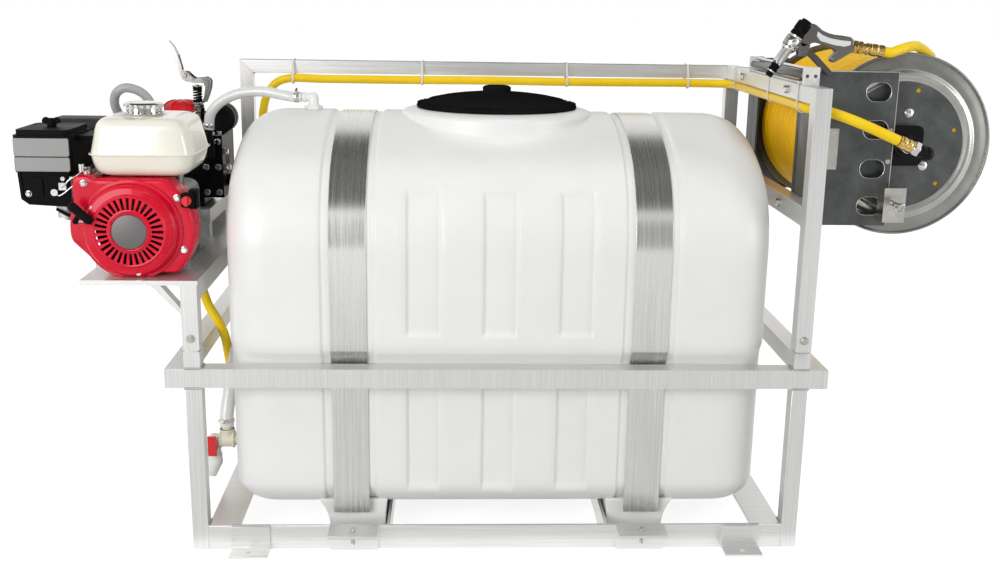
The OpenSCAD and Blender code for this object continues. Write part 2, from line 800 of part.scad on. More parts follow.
module fan_cover() {
    color("crimson") engine_place() translate([0, cover_y0, 0]) difference() {
        slab_y(case_y0 - 0.3 - cover_y0) fan_outline(0);
        translate([0, cover_wall, 0]) slab_y(case_y0 - cover_y0) fan_outline(cover_wall);
        translate([0, -1, 0]) rod_y(84, cover_wall + 2, 96);
    }
    color("black") engine_place() difference() {
        union() {
            translate([107, cover_y0 - 6.5, 58]) slab_y(14) round_rect([-12, -14], [12, 14], 5);
            span([106, cover_y0 + 4, 40], [124, 60, 76]);
        }
        translate([0, cover_y0, 0]) slab_y(60) circle(r = 117.3, $fn = 96);
    }
}

// Pressed cover over the recoil starter, with a ring of air slots
module starter_cover() {
    face = [[33, 7.5], [34.5, 10], [40, 11], [66, 11], [70, 13], [83, 14], [87, 17.5], [89, 28.9],
            [96, 28.9]];
    back = [[96, 31.7], [86.5, 31.7], [84.8, 19], [82, 16.5], [69, 15.5], [65, 13.5], [40, 13.5],
            [32, 12.5], [30, 10.2]];
    color("red") engine_place() difference() {
        union() {
            rotate([-90, 0, 0]) rotate_extrude($fn = 96)
                polygon(concat([[0, 10.2], [0, 7.5]], face, back));
            translate([-80, 10, 20]) slab_y(14) round_rect([-9, -8], [10, 8], 5);
        }
        for (i = [0:starter_slots - 1]) rotate([0, i * 360 / starter_slots, 0])
            translate([42, 8, -2]) cube([22, 8, 4]);
        translate([-96, 9, 20]) rod_x(4, 24, 24);
        span([-120, 0, -120], [120, 60, -89]);
    }
}

// Slanted pull grip, its neck and the cord that goes into the cover
module starter_grip() {
    color("black") engine_place() {
        translate([-84.7, 0, 36.8]) rotate([0, -48, 0]) {
            translate([0, 0, -18]) cylinder(r = 9, h = 36, $fn = 32);
            for (z = [-18, 18]) translate([0, 0, z]) sphere(r = 9, $fn = 32);
        }
        translate([-97, 8.6, 20]) rotate([0, 36, -36]) cylinder(r = 5, h = 20, $fn = 32);
        translate([-97, 8.6, 20]) sphere(r = 6, $fn = 32);
        translate([-97, 9, 20]) rod_x(2, 23, 24);
    }
}

tank_floor = 97;
fuel_top = 210;

// A box with different round corners seen from above, the front and the side
module pillow(a, b, r_top, r_front, r_side) {
    intersection() {
        translate([0, 0, a[2]]) linear_extrude(b[2] - a[2])
            round_rect([a[0], a[1]], [b[0], b[1]], r_top);
        translate([0, a[1], 0]) slab_y(b[1] - a[1]) round_rect([a[0], a[2]], [b[0], b[2]], r_front);
        translate([(a[0] + b[0]) / 2, 0, 0]) slab_x(b[0] - a[0])
            round_rect([a[1], a[2]], [b[1], b[2]], r_side);
    }
}

filler_x = 12;
filler_y = 122;
filler_r = 27;

// Moulded fuel tank with a welded seam, a filler neck and two mounting stays
module fuel_tank() {
    a = [-78, 36, tank_floor];
    b = [117, 230, fuel_top];
    w = 3;
    color("ivory") engine_place() difference() {
        union() {
            pillow(a, b, 36, 32, 32);
            translate([0, 0, 139]) linear_extrude(3)
                round_rect([a[0] - 5, a[1] - 4], [b[0] + 5, b[1] + 4], 40);
            translate([filler_x, filler_y, fuel_top - 5]) cylinder(r = filler_r, h = 9, $fn = fine);
        }
        pillow(a + [w, w, w], b - [w, w, w], 33, 29, 29);
        translate([filler_x, filler_y, fuel_top - 10]) cylinder(r = filler_r - 3, h = 16, $fn = fine);
    }
    color("gray") engine_place() for (x = [-20, 60])
        translate([x, 180, 66]) cylinder(r = 9, h = tank_floor - 65.5, $fn = 32);
}

// Plated cap with finger grips
module fuel_cap() {
    grips = 20;
    z0 = fuel_top + 0.3;
    color("silver") engine_place() translate([filler_x, filler_y, z0]) difference() {
        union() {
            cylinder(r = 38, h = 20, $fn = 96);
            cylinder(r = 35, h = 22, $fn = 96);
        }
        translate([0, 0, -1]) cylinder(r = filler_r + 0.5, h = 5.2, $fn = fine);
        for (i = [0:grips - 1]) rotate(i * 360 / grips)
            translate([39.5, 0, -1]) cylinder(r = 3.2, h = 19, $fn = 24);
    }
}

cleaner_x0 = -222;
cleaner_x1 = -112;
cleaner_split = 136;

// Lower half of the air cleaner on its duct, with the shroud that hangs in front of the carburettor
module air_cleaner_base() {
    z0 = 103;
    color("gray") engine_place() difference() {
        union() {
            translate([0, 0, z0]) linear_extrude(cleaner_split - z0)
                round_rect([cleaner_x0, 60], [cleaner_x1, 200], 14);
            translate([-135, 90, z0 - 8]) cylinder(r = 16, h = 9, $fn = 32);
            translate([0, 64, 0]) slab_y(74)
                polygon([[-215, z0 + eps], [-212, 52], [-198, 42], [-164, 40], [-164, z0 + eps]]);
            translate([0, 64, 0]) slab_y(3.5)
                polygon([[-165, z0 + eps], [-165, 40], [-128, 38], [-120, 48], [-120, z0 + eps]]);
        }
        translate([0, 0, z0 + 3]) linear_extrude(cleaner_split)
            round_rect([cleaner_x0 + 3, 63], [cleaner_x1 - 3, 197], 11);
        translate([-135, 90, z0 - 9]) cylinder(r = 11, h = 20, $fn = 32);
    }
    color("gray") engine_place() translate([-167, 130, z0 + 3 - eps]) cylinder(r = 3, h = 87, $fn = 24);
}

// Upper half of the air cleaner, hollow, held down by the wing nut
module air_cleaner_cover() {
    z1 = 183;
    color("black") engine_place() difference() {
        union() {
            translate([0, 0, cleaner_split + 0.3]) linear_extrude(z1 - 10 - cleaner_split - 0.3)
                round_rect([cleaner_x0, 60], [cleaner_x1, 200], 14);
            translate([0, 0, z1 - 10 - eps]) linear_extrude(10)
                round_rect([cleaner_x0 + 5, 65], [cleaner_x1 - 5, 195], 12);
            span([cleaner_x1 - 2, 100, z1 - 22], [cleaner_x1 + 30, 190, z1 - 14]);
        }
        translate([0, 0, cleaner_split - 1]) linear_extrude(z1 - 13 - cleaner_split)
            round_rect([cleaner_x0 + 3, 63], [cleaner_x1 - 3, 197], 11);
        translate([-167, 130, z1 - 16]) cylinder(r = 3.3, h = 18, $fn = 24);
    }
}

module wing_nut() {
    z0 = 183.3;
    color("black") engine_place() translate([-167, 130, z0]) difference() {
        union() {
            cylinder(r = 9, h = 10, $fn = 32);
            translate([-19, -3, 5]) cube([38, 6, 13]);
            cylinder(r = 8, h = 16, $fn = 32);
        }
        translate([0, 0, -1]) cylinder(r = 3.05, h = 12.5, $fn = 24);
    }
}

// Carburettor body with its bowl, between the air duct and the head
module carburettor() {
    color("gray") engine_place() {
        span([-158, 70, 52], [-112, 104, 94]);
        translate([-135, 90, 94 - eps]) cylinder(r = 14, h = 1, $fn = 32);
        translate([-114, 104 - eps, 70]) rod_y(14, 5.5);
        translate([-136, 87, 30]) cylinder(r = 19, h = 22 + eps, $fn = fine);
        translate([-136, 87, 14]) cylinder(r = 17, h = 16 + eps, $fn = fine);
        translate([-136, 87, 8]) cylinder(r = 5, h = 7, $fn = 6);
    }
}

// Throttle arm on a post over the fan cover
module throttle_lever() {
    color("black") engine_place() translate([-84, 58, 103.3]) {
        cylinder(r = 7, h = 12, $fn = 32);
        translate([0, 0, 8]) linear_extrude(3) polygon([[-5, 5], [-3, -36], [3, -36], [6, 5]]);
        translate([0, -33, 8]) cylinder(r = 5, h = 14, $fn = 32);
    }
}

// Muffler behind the air cleaner, with a slotted guard and a tail pipe
module muffler() {
    a = [-225, 252, 72];
    b = [-100, 336, 185];
    color("dimgray") engine_place() difference() {
        union() {
            pillow(a, b, 16, 22, 18);
            translate([-225, 300, 150]) rotate([0, -90, 0]) cylinder(r = 12, h = 16, $fn = 32);
        }
        pillow(a + [2, 2, 2], b - [2, 2, 2], 14, 20, 16);
        translate([-245, 300, 150]) rod_x(10, 30, 32);
        for (i = [0:6]) translate([-205 + 15 * i, 335 - 5, 100]) cube([5, 10, 56]);
    }
}

// Red stop switch on its box at the right of the fan cover
module engine_switch() {
    color("red") engine_place() translate([107, cover_y0 - 14, 58]) {
        rod_y(9, 7, 32);
        translate([-3, -5, -9]) cube([6, 6, 18]);
    }
}

// ---------------------------------------------------------------- pump

pump_y0 = 430;
pump_y1 = 552;
stand_h = 64;
case_top = 160;

// Pump crankcase on two rails, with the valve block at its right
module pump_body() {
    color("black") engine_place() difference() {
        union() {
            translate([0, pump_y0, 0]) slab_y(pump_y1 - pump_y0)
                round_rect([-40, stand_h - 90 + 0.3], [56, case_top], 10);
            translate([0, pump_y0 - 20, 0]) rod_y(24, 21);
            span([55, 424, -4], [100.6, 560, 133]);
            translate([78.6, 399, 101]) rod_y(8, 26);
            translate([78.6, 399, 89]) cylinder(r = 10, h = 42, $fn = 32);
            translate([78.6, 399, 130]) cylinder(r = 6.5, h = 30, $fn = 32);
            translate([100, 485, 27]) rod_x(14, 10);
        }
        translate([0, pump_y0 - 21, 0]) rod_y(shaft_r + shaft_gap, 32);
        translate([0, pump_y0 + 10, 0]) slab_y(pump_y1 - pump_y0 - 20)
            round_rect([-32, stand_h - 90 + 8], [48, case_top - 10], 8);
    }
}

// Rails and legs that lift the pump to the height of the crankshaft
module pump_stand() {
    h = stand_h;
    rail = 31.75;
    color("silver") translate([0, eng_y, 0]) difference() {
        for (x = [-766, -680]) {
            span([x, 404, deck_top + h - rail], [x + 50.8, 640, deck_top + h]);
            for (y = [410, 600]) span([x + 4, y, deck_top], [x + 46.8, y + 30, deck_top + h - rail + eps]);
        }
        for (x = [-766, -680]) span([x + tube_t, 403, deck_top + h - rail + tube_t],
            [x + 50.8 - tube_t, 641, deck_top + h - tube_t]);
    }
}

// Red diaphragm heads: a round dish with ribs and bolts on top, and one at the left
module pump_head() {
    bolts = 8;
    rotate_extrude($fn = fine) polygon([[0, 0], [54, 0], [55, 3], [55, 12], [47, 20], [38, 34],
                                        [24, 42], [0, 45]]);
    for (i = [0:bolts - 1]) rotate(i * 360 / bolts) {
        translate([48, 0, 11]) cylinder(r = 6.5, h = 10, $fn = 6);
        translate([16, -2, 14]) cube([32, 4, 16]);
    }
}
main_head = [2, 490, case_top + 0.3];
module pump_heads() {
    color("red") engine_place() {
        translate(main_head) pump_head();
        translate([-40.3, 490, 60]) rotate([0, -90, 0]) scale(0.62) pump_head();
    }
}

// Coupling and pump crank, in line with the engine
module pump_shaft() {
    color("gray") engine_place() {
        difference() {
            translate([0, 292, 0]) rod_y(34, 96, 48);
            translate([0, 291, 0]) rod_y(shaft_r + shaft_gap, shaft_end_y - 291);
        }
        translate([0, 387, 0]) rod_y(shaft_r, 62);
        translate([0, 448, 0]) rod_y(9, 76);
        for (i = [0:2]) rotate([0, 120 * i, 0]) translate([0, 456 + 22 * i, 4]) rod_y(11, 18);
    }
}

// Black pulsation dampener on the valve block
module dampener() {
    color("black") engine_place() {
        translate([93.6, 446, 168]) rod_y(33, 50, 64);
        translate([93.6, 440, 168]) rod_y(28, 62, 64);
        translate([93.6, 474, 133.3]) cylinder(r = 8, h = 20, $fn = 32);
    }
}

pivot_z = 905;

reg_x = -658;
reg_y = 90;

// Pressure regulator: a seat cut to the head under it, a stem, a spring and a yoke
module regulator() {
    spring = [for (i = [0:56]) let (a = i * 45)
        [reg_x + 8.5 * cos(a), reg_y + 8.5 * sin(a), 845 + 35 * i / 56]];
    color("silver") difference() {
        union() {
            translate([reg_x, reg_y, 806]) cylinder(r = 14, h = 30, $fn = 32);
            translate([reg_x, reg_y, 835]) cylinder(r = 4.5, h = 50, $fn = 24);
            translate([0, reg_y - 15, 0]) both_sides_plate();
            translate([-681, reg_y - 16, pivot_z]) rod_y(3, 32, 24);
        }
        engine_place() translate(main_head) scale(1.006) pump_head();
    }
    color("black") hose(spring, 2.2, 8, [1, 0, 0]);
}
module both_sides_plate() {
    for (y = [0, 27]) translate([0, y, 0]) slab_y(3)
        polygon([[-671, 831], [-645, 831], [-637, 860], [-626, 892], [-636, 902], [-660, 898],
                 [-676, 914], [-688, 908], [-686, 896], [-675, 870]]);
}

// Quick-release lever with a cam foot that presses on the spring
module regulator_lever() {
    color("silver") translate([-681, 90 - 11, pivot_z]) {
        difference() {
            slab_y(22) polygon([[-5, 6], [-8, 20], [-14, 44], [-24, 64], [-33, 74], [-38, 70], [-28, 56],
                                [-20, 36], [-14, 10], [-8, -7], [0, -9], [7, -5], [8, 4]]);
            translate([0, -1, 0]) rod_y(3.05, 24, 24);
            translate([-60, 3, 12]) cube([60, 16, 80]);
        }
        slab_y(22) polygon([[-14, 44], [-24, 64], [-33, 74], [-38, 70], [-28, 56], [-19, 42]]);
    }
}
bypass_path = spline([[-745, 54, 824], [-755, 48, 853], [-772, 42, 872], [-800, 38, 880], [-822, 42, 868],
                      [-832, 60, 842], [-826, 84, 812], [-800, 100, 780], [-770, 100, 760]], 4);
module bypass_hose() {
    color("darkgray") hose(bypass_path, 10);
}

// ---------------------------------------------------------------- reel

plate_y = 248;
plate_t = 4.8;
plate_x1 = 783;
plate_z0 = 645;
plate_z1 = 952;
rail_bolt_y = 186;
disc_y = 226;
disc_r = disc_d / 2;
lock_x = reel_x + 112 * cos(-104);
lock_z = reel_z + 112 * sin(-104);
oval_z = [685, 760, 838, 912];

// Two lipped side plates with oval holes, bolted to the rails by their flanges
module reel_frame() {
    lip = 12;
    x0 = hw + 0.2;
    y_in = plate_y - plate_t;
    color("dimgray") both_y() difference() {
        union() {
            span([x0, -plate_y, plate_z0], [plate_x1, -y_in, plate_z1]);
            span([x0, -y_in - eps, plate_z0], [x0 + plate_t, -160, plate_z1]);
            span([x0, -y_in - eps, plate_z1 - plate_t], [plate_x1, -y_in + lip, plate_z1]);
            span([x0, -y_in - eps, plate_z0], [plate_x1, -y_in + lip, plate_z0 + plate_t]);
            span([plate_x1 - plate_t, -y_in - eps, plate_z0], [plate_x1, -y_in + lip, reel_z - 50]);
            span([plate_x1 - plate_t, -y_in - eps, reel_z + 50], [plate_x1, -y_in + lip, plate_z1]);
        }
        for (z = oval_z) translate([745, -plate_y - 1, z]) slab_y(plate_t + 2)
            round_rect([-25, -18.5], [25, 18.5], 18);
        translate([lock_x, -plate_y - 1, lock_z]) slab_y(30) round_rect([-8, -8], [20, 8], 7);
        translate([reel_x, -plate_y - 1, reel_z]) rod_y(26, plate_t + 2);
        for (z = [frame_h - post_w / 2, low_rail_z + low_rail_h / 2])
            translate([x0 - 1, -rail_bolt_y, z]) rod_x(5.5, plate_t + 2, 24);
    }
    color("silver") both_y() for (z = [frame_h - post_w / 2, low_rail_z + low_rail_h / 2])
        translate([0, -rail_bolt_y, z]) {
            translate([x0 + plate_t, 0, 0]) rod_x(8, 5, 6);
            translate([hw - post_w - 6, 0, 0]) rod_x(8, 5.9, 6);
        }
    lock_guide();
}

// Zinc bracket at the foot of the front plate that guides the locking pin
module lock_guide() {
    y1 = -plate_y - 36;
    color("lightgray") difference() {
        union() {
            span([762, y1, 658], [806, y1 + 3, 727]);
            span([762, y1, 658], [765, -plate_y - 0.2, 727]);
        }
        translate([lock_x, y1 - 1, lock_z]) rod_y(5.05, 5);
    }
}

bearing_half = 40;
journal_r = 12.5;

// Square flange bearings behind the plates
module reel_bearings() {
    y0 = plate_y - plate_t - 0.1;
    color("black") both_y() difference() {
        union() {
            translate([reel_x, -y0, reel_z]) slab_y(11)
                round_rect([-bearing_half, -bearing_half], [bearing_half, bearing_half], 12);
            translate([reel_x, -plate_y - 3, reel_z]) rod_y(22, 12);
        }
        translate([reel_x, -plate_y - 4, reel_z]) rod_y(journal_r + shaft_gap, 40);
    }
}

// One disc of the drum, its outer face towards -Y, with a rolled rim and a raised bead
module drum_disc() {
    r = disc_r;
    difference() {
        rotate([-90, 0, 0]) rotate_extrude($fn = 128) polygon([
            [11, 0], [128, 0], [131, -4], [147, -4], [150, 0], [r - 5, 0], [r - 3.5, -3], [r - 1, -3],
            [r, -1], [r, 3], [r - 1.5, 4], [r - 3, 2.5], [149, 2.5], [146, -1.5], [132, -1.5],
            [129, 2.5], [11, 2.5]]);
        for (a = [16:60:359]) rotate([0, -a, 0]) translate([112, -1, 0]) rod_y(4.75, 5, 24);
    }
}
module reel_drum() {
    pipe_y = 345;
    color("dimgray") translate([reel_x, 0, reel_z]) {
        both_y() translate([0, -disc_y, 0]) drum_disc();
        translate([0, -disc_y + 1, 0]) rod_y(55, 2 * disc_y - 2);
        translate([0, -plate_y - 20, 0]) rod_y(journal_r, 2 * plate_y + 40);
        translate([0, -pipe_y, 0]) rod_y(10, pipe_y - plate_y);
        both_y() for (a = [40:120:359]) rotate([0, a, 0])
            translate([65, -disc_y - 5, 0]) rod_y(7, 5.1, 6);
    }
}

pack_r = 172;
wraps = 21;

// The wound hose: neat turns side by side, filling the drum
module hose_pack() {
    pitch = 2 * (disc_y - 3) / wraps;
    turns = [for (i = [0:wraps - 1], k = [0:3]) let (a = 22.5 + 45 * k)
        [pack_r - 10 + 10 * sin(a), -disc_y + 3 + pitch * (i + 0.5 - 0.5 * cos(a))]];
    color("gold") translate([reel_x, 0, reel_z]) rotate([-90, 0, 0]) rotate_extrude($fn = 72)
        polygon(concat([[55.2, -disc_y + 3.2]], turns, [[55.2, disc_y - 3.2]]));
}

module reel_lock_pin() {
    color("silver") translate([lock_x, 0, lock_z]) {
        translate([0, -plate_y - 62, 0]) rod_y(5, 62 + plate_t - 3, 32);
        translate([0, -plate_y + plate_t - 4, 0]) rod_y(4.2, 16, 32);
        translate([0, -plate_y - 80, 0]) rod_y(11, 20, 32);
    }
}

crank_arm = 160;

// Hand crank at the back, fixed to the shaft
module reel_crank() {
    y0 = plate_y + 21;
    color("dimgray") translate([reel_x, y0, reel_z]) {
        translate([0, -0.9, 0]) rod_y(20, 24);
        slab_y(7) union() {
            translate([-13, -crank_arm]) square([26, crank_arm]);
            translate([0, -crank_arm]) circle(13, $fn = 32);
        }
        translate([0, 6, -crank_arm]) rod_y(5, 102, 32);
        translate([0, 107.5, -crank_arm]) rod_y(8, 3, 32);
    }
}
module crank_grip() {
    color("black") translate([reel_x, plate_y + 29, reel_z - crank_arm]) difference() {
        rod_y(14, 98, 48);
        translate([0, -1, 0]) rod_y(5.06, 100, 32);
    }
}

// Swivel on the hollow end of the shaft: an elbow, a nut and a hose ferrule
module swivel() {
    y0 = -366;
    color("black") translate([reel_x, 0, reel_z]) {
        difference() {
            translate([0, y0, 0]) rod_y(14, 50);
            translate([0, -345.5, 0]) rod_y(10.05, 40);
        }
        translate([0, y0, 0]) sphere(r = 14, $fn = 48);
        translate([0, y0, 0]) rotate([0, -67, 0]) cylinder(r = 12, h = 20, $fn = 32);
    }
    color("silver") translate([reel_x, y0, reel_z]) rotate([0, -67, 0])
        translate([0, 0, 20]) cylinder(r = 13, h = 12, $fn = 6);
    color("gold") translate([reel_x, y0, reel_z]) rotate([0, -67, 0])
        translate([0, 0, 32]) cylinder(r = 12, h = 30, $fn = 32);
}

// ---------------------------------------------------------------- hose guide

guide_y0 = -294;
guide_y1 = 131;
guide_z = 944;

// Bar on the side rail with two end posts that carry the rollers
module hose_guide() {
    z0 = frame_h + 0.2;
    color("white") {
        span([584, guide_y0, z0], [606, guide_y1, z0 + 4]);
        for (y = [guide_y0, guide_y1 - 6]) difference() {
            span([578, y, z0], [610, y + 6, z0 + 34]);
            for (x = [586, 602]) translate([x, y - 1, guide_z]) rod_y(3.55, 8, 24);
        }
        translate([598, guide_y0 - 8, 930 + 6]) rod_y(5, 8.1, 24);
    }
    color("silver") translate([594, guide_y0 + 5.9, guide_z + 12.5])
        rod_y(3, guide_y1 - guide_y0 - 11.8, 24);
}

module guide_roller(x) {
    color("black") translate([x, guide_y0 + 0.5, guide_z]) {
        rod_y(3.5, guide_y1 - guide_y0 - 1, 24);
        translate([0, 7, 0]) rod_y(7, guide_y1 - guide_y0 - 15, 32);
    }
}
module guide_roller_left() {
    guide_roller(586);
}
module guide_roller_right() {
    guide_roller(602);
}

// ---------------------------------------------------------------- hoses and gun

supply_path = spline([[-690, 171.6, 660], [-692, 215, 655], [-694, 268, 622], [-694, 284, 560],
                      [-692, 270, 505], [-676, 150, 465], [-654, 30, 458], [-639, -38, 449],
                      [-622, -66, 420], [-602, -76, 390], [-591, -68, 356], [-587, -58, 316],
                      [-589, -20, 260], [-593, 60, 226], [-592, 150, 218], [-580, 250, 246],
                      [-567, 325, 350], [-564, 340, 520], [-564, 350, 690], [-557, 352, 800],
                      [-537, 346, 856], [-495, 339, 882.6], [-400, 338, 883], [-200, 338, 883],
                      [0, 338, 884], [200, 338, 883], [420, 338, 884], [510, 336, 884],
                      [548, 331, 884.2], [574, 318, 884.5], [586, 294, 884.5], [588, 270, 884.5],
                      [588, 240, 884.5], [588, 120, 884.5], [588, -100, 884.5], [588, -240, 884.5],
                      [588, -285, 884.5],
                      [592.5, -305, 884], [606, -323, 882.5], [628, -336, 878], [656, -346, 869],
                      [688, -357, 856.5], [718, -365, 843.4], [748, -366, 830.6]], 2);
module discharge_hose() {
    color("gold") hose(supply_path, hose_d / 2, 10);
}

// Cable ties that hold the hose to the rails
module back_tie(x) {
    translate([x, 0, 0]) slab_x(4.8) difference() {
        polygon([[383, 929], [347, 929], [325.5, 889], [326, 876], [336, 870.6], [347, 872],
                 [383, 893.4]]);
        polygon([[381.4, 927.4], [348.8, 927.4], [327.1, 888.6], [327.6, 877], [336.4, 872.4],
                 [346, 873.8], [381.4, 894.6]]);
    }
}
module side_tie(y, top) {
    translate([0, y - 2.4, 0]) slab_y(4.8) difference() {
        polygon([[612, top], [575.7, top], [575.7, 883.7], [577.8, 877.4], [582.6, 873], [588, 872],
                 [593.4, 873], [597.8, 876.9], [612, 893.4]]);
        polygon([[610.4, top - 1.6], [577.3, top - 1.6], [577.3, 884], [579.2, 878.2], [583.2, 874.4],
                 [588, 873.6], [592.8, 874.4], [596.8, 877.8], [610.4, 893.8]]);
    }
}
module hose_ties() {
    color("white") {
        for (x = [-480, -169, 183, 480]) back_tie(x);
        side_tie(260, 929);
        side_tie(-46, 933);
        side_tie(-268, 933);
    }
}

gun_y = -261;
gun_tilt = 33.5;

// Things along the barrel, measured up from the tip
module along_barrel() {
    translate([518, gun_y, 942]) rotate([0, gun_tilt, 0]) children();
}

// Spray gun lying on the guide: barrel, valve body and hand grip
module spray_gun() {
    color("black") along_barrel() {
        cylinder(r = 7, h = 10, $fn = 32);
        translate([0, 0, 10]) cylinder(r = 9, h = 18, $fn = 32);
        translate([0, 0, 88]) cylinder(r = 15, h = 38, $fn = fine);
    }
    color("silver") along_barrel() {
        translate([0, 0, 28]) cylinder(r = 10.5, h = 34, $fn = 32);
        translate([0, 0, 62]) cylinder(r = 14, h = 26, $fn = fine);
    }
    color("gray") translate([0, gun_y - 11, 0]) slab_y(22)
        polygon([[570, 1008], [578, 996], [590, 1000], [597, 1006], [612, 1005], [634, 997], [648, 990],
                 [636, 978], [642, 968], [668, 984], [678, 990], [680, 1012], [672, 1018], [640, 1022],
                 [616, 1030], [604, 1040], [590, 1042]]);
    color("gray") for (y = [-11, 7.4]) translate([0, gun_y + y, 0]) slab_y(3.6)
        polygon([[573, 980], [587, 980], [594, 1002], [570, 1008]]);
    color("gray") translate([580, gun_y - 11, 988]) rod_y(2.45, 22, 24);
    color("gold") translate([679, gun_y, 1000]) rotate([0, 98, 0]) {
        cylinder(r = 14, h = 16, $fn = 6);
        translate([0, 0, 16]) cylinder(r = 12, h = 46, $fn = 32);
    }
}

// Trigger, hinged under the valve body
module gun_trigger() {
    color("dimgray") translate([0, gun_y - 7, 0]) slab_y(14) difference() {
        polygon([[572, 992], [578, 984], [590, 984], [602, 974], [634, 944], [643, 950], [612, 980],
                 [596, 994], [584, 992.5]]);
        translate([580, 988]) circle(r = 2.5, $fn = 24);
    }
}

gun_path = spline([[741, -261, 991.2], [749, -261, 990.1], [757, -261, 989.4], [788, -248, 998],
                   [818, -226, 1001], [842, -208, 992], [862, -198, 978.4]], 4);
module gun_hose() {
    color("gold") hose(gun_path, hose_d / 2, 10);
}

// Everything is drawn only by these lines
base_frame();
tank_cradles();
hold_down_feet();
strap_clips();
lower_posts();
belt_ring();
upper_posts();
side_rails();
frame_bolts();
engine_deck();
tank_shell();
tank_neck();
tank_feet();
tank_lid();
tank_straps();
strap_bolts();
return_elbow();
return_hose();
outlet_tee();
drain_valve();
valve_handle();
suction_hose();
crankcase();
cylinder_head();
crankshaft();
fan_cover();
starter_cover();
starter_grip();
fuel_tank();
fuel_cap();
air_cleaner_base();
air_cleaner_cover();
wing_nut();
carburettor();
throttle_lever();
muffler();
engine_switch();
pump_body();
pump_heads();
pump_shaft();
dampener();
regulator();
regulator_lever();
bypass_hose();
reel_frame();
reel_bearings();
reel_drum();
hose_pack();
reel_lock_pin();
reel_crank();
crank_grip();
swivel();
hose_guide();
guide_roller_left();
guide_roller_right();
discharge_hose();
hose_ties();
spray_gun();
gun_trigger();
gun_hose();
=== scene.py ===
# %% [markdown]
# # A skid sprayer, dressed for the studio
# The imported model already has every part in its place. This lesson gives each part its
# finish and replaces the plain solids by finely shaped surfaces.
# All lengths below are millimetres, because that is how a workshop writes them. They
# become metres in one place only, where a mesh is made.

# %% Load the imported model
import json
import math

import bpy
import numpy as np
from mathutils import Matrix, Vector

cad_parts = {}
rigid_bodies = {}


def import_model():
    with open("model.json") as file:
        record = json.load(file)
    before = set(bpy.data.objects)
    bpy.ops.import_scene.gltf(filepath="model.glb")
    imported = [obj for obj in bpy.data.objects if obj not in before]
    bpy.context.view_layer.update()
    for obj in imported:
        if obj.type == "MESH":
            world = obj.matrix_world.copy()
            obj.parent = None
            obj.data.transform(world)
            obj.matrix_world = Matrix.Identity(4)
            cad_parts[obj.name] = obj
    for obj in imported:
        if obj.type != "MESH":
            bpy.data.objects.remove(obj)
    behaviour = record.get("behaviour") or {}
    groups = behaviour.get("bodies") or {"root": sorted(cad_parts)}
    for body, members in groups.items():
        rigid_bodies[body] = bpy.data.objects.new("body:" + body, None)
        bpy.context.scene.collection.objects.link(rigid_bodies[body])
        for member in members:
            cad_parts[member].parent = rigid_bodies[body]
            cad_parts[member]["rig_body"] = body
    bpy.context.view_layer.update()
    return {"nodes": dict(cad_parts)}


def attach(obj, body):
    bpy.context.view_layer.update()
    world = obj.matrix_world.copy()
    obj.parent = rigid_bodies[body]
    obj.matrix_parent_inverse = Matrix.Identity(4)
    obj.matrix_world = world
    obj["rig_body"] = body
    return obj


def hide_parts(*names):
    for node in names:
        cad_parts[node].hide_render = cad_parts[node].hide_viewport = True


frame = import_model()
NODES = frame["nodes"]

# %% [markdown]
# ## The camera
# A camera is a point, a direction and a lens. The direction is written as three angles:
# how far the camera turns to the right, how far it looks down, and how far it tilts its
# head. Building the matrix from its three axes keeps the order of the turns plain.

# %% Camera
TURN, DOWN, TILT = (math.radians(a) for a in (2.467, 14.277, 0.898))
forward = Vector((math.sin(TURN) * math.cos(DOWN), math.cos(TURN) * math.cos(DOWN), -math.sin(DOWN)))
level = Vector((math.cos(TURN), -math.sin(TURN), 0))
upright = level.cross(forward)
right = math.cos(TILT) * level + math.sin(TILT) * upright
up = math.cos(TILT) * upright - math.sin(TILT) * level
lens = bpy.data.cameras.new("studio_camera")
lens.sensor_width = 36
lens.lens = 36 * 1177.9 / 1000
camera = bpy.data.objects.new("studio_camera", lens)
camera.matrix_world = Matrix.Translation((-0.0968, -2.5658, 1.0879)) @ Matrix(
    (right, up, -forward)).transposed().to_4x4()
lens.clip_start, lens.clip_end = 0.05, 60
bpy.context.scene.collection.objects.link(camera)
bpy.context.scene.camera = camera

# %% [markdown]
# ## Floor, backdrop and light
# A product stands on a sheet of white paper: the floor takes the shadow and the world
# behind it is white. Seen directly, in a mirror or through glass the world is pure
# white, but it lights the object more gently than that, so pale paint keeps its shading.


# %% Floor and world
def seen_directly(tree, path):
    """1 for a ray from the camera, off a mirror or through glass, otherwise 0."""
    total = path.outputs["Is Camera Ray"]
    for name in ("Is Glossy Ray", "Is Transmission Ray"):
        add = tree.nodes.new("ShaderNodeMath")
        add.operation, add.use_clamp = "ADD", True
        tree.links.new(total, add.inputs[0])
        tree.links.new(path.outputs[name], add.inputs[1])
        total = add.outputs[0]
    return total


def plain_world(level=0.47):
    """White for camera, mirror and glass rays; a softer white for light that falls on things."""
    world = bpy.data.worlds.new("studio_world")
    world.use_nodes = True
    tree = world.node_tree
    tree.nodes.clear()
    out = tree.nodes.new("ShaderNodeOutputWorld")
    seen = tree.nodes.new("ShaderNodeBackground")
    lit = tree.nodes.new("ShaderNodeBackground")
    mix = tree.nodes.new("ShaderNodeMixShader")
    path = tree.nodes.new("ShaderNodeLightPath")
    seen.inputs["Color"].default_value = (1, 1, 1, 1)
    lit.inputs["Color"].default_value = (0.98, 0.99, 1, 1)
    lit.inputs["Strength"].default_value = level
    tree.links.new(seen_directly(tree, path), mix.inputs["Fac"])
    tree.links.new(lit.outputs[0], mix.inputs[1])
    tree.links.new(seen.outputs[0], mix.inputs[2])
    tree.links.new(mix.outputs[0], out.inputs["Surface"])
    bpy.context.scene.world = world


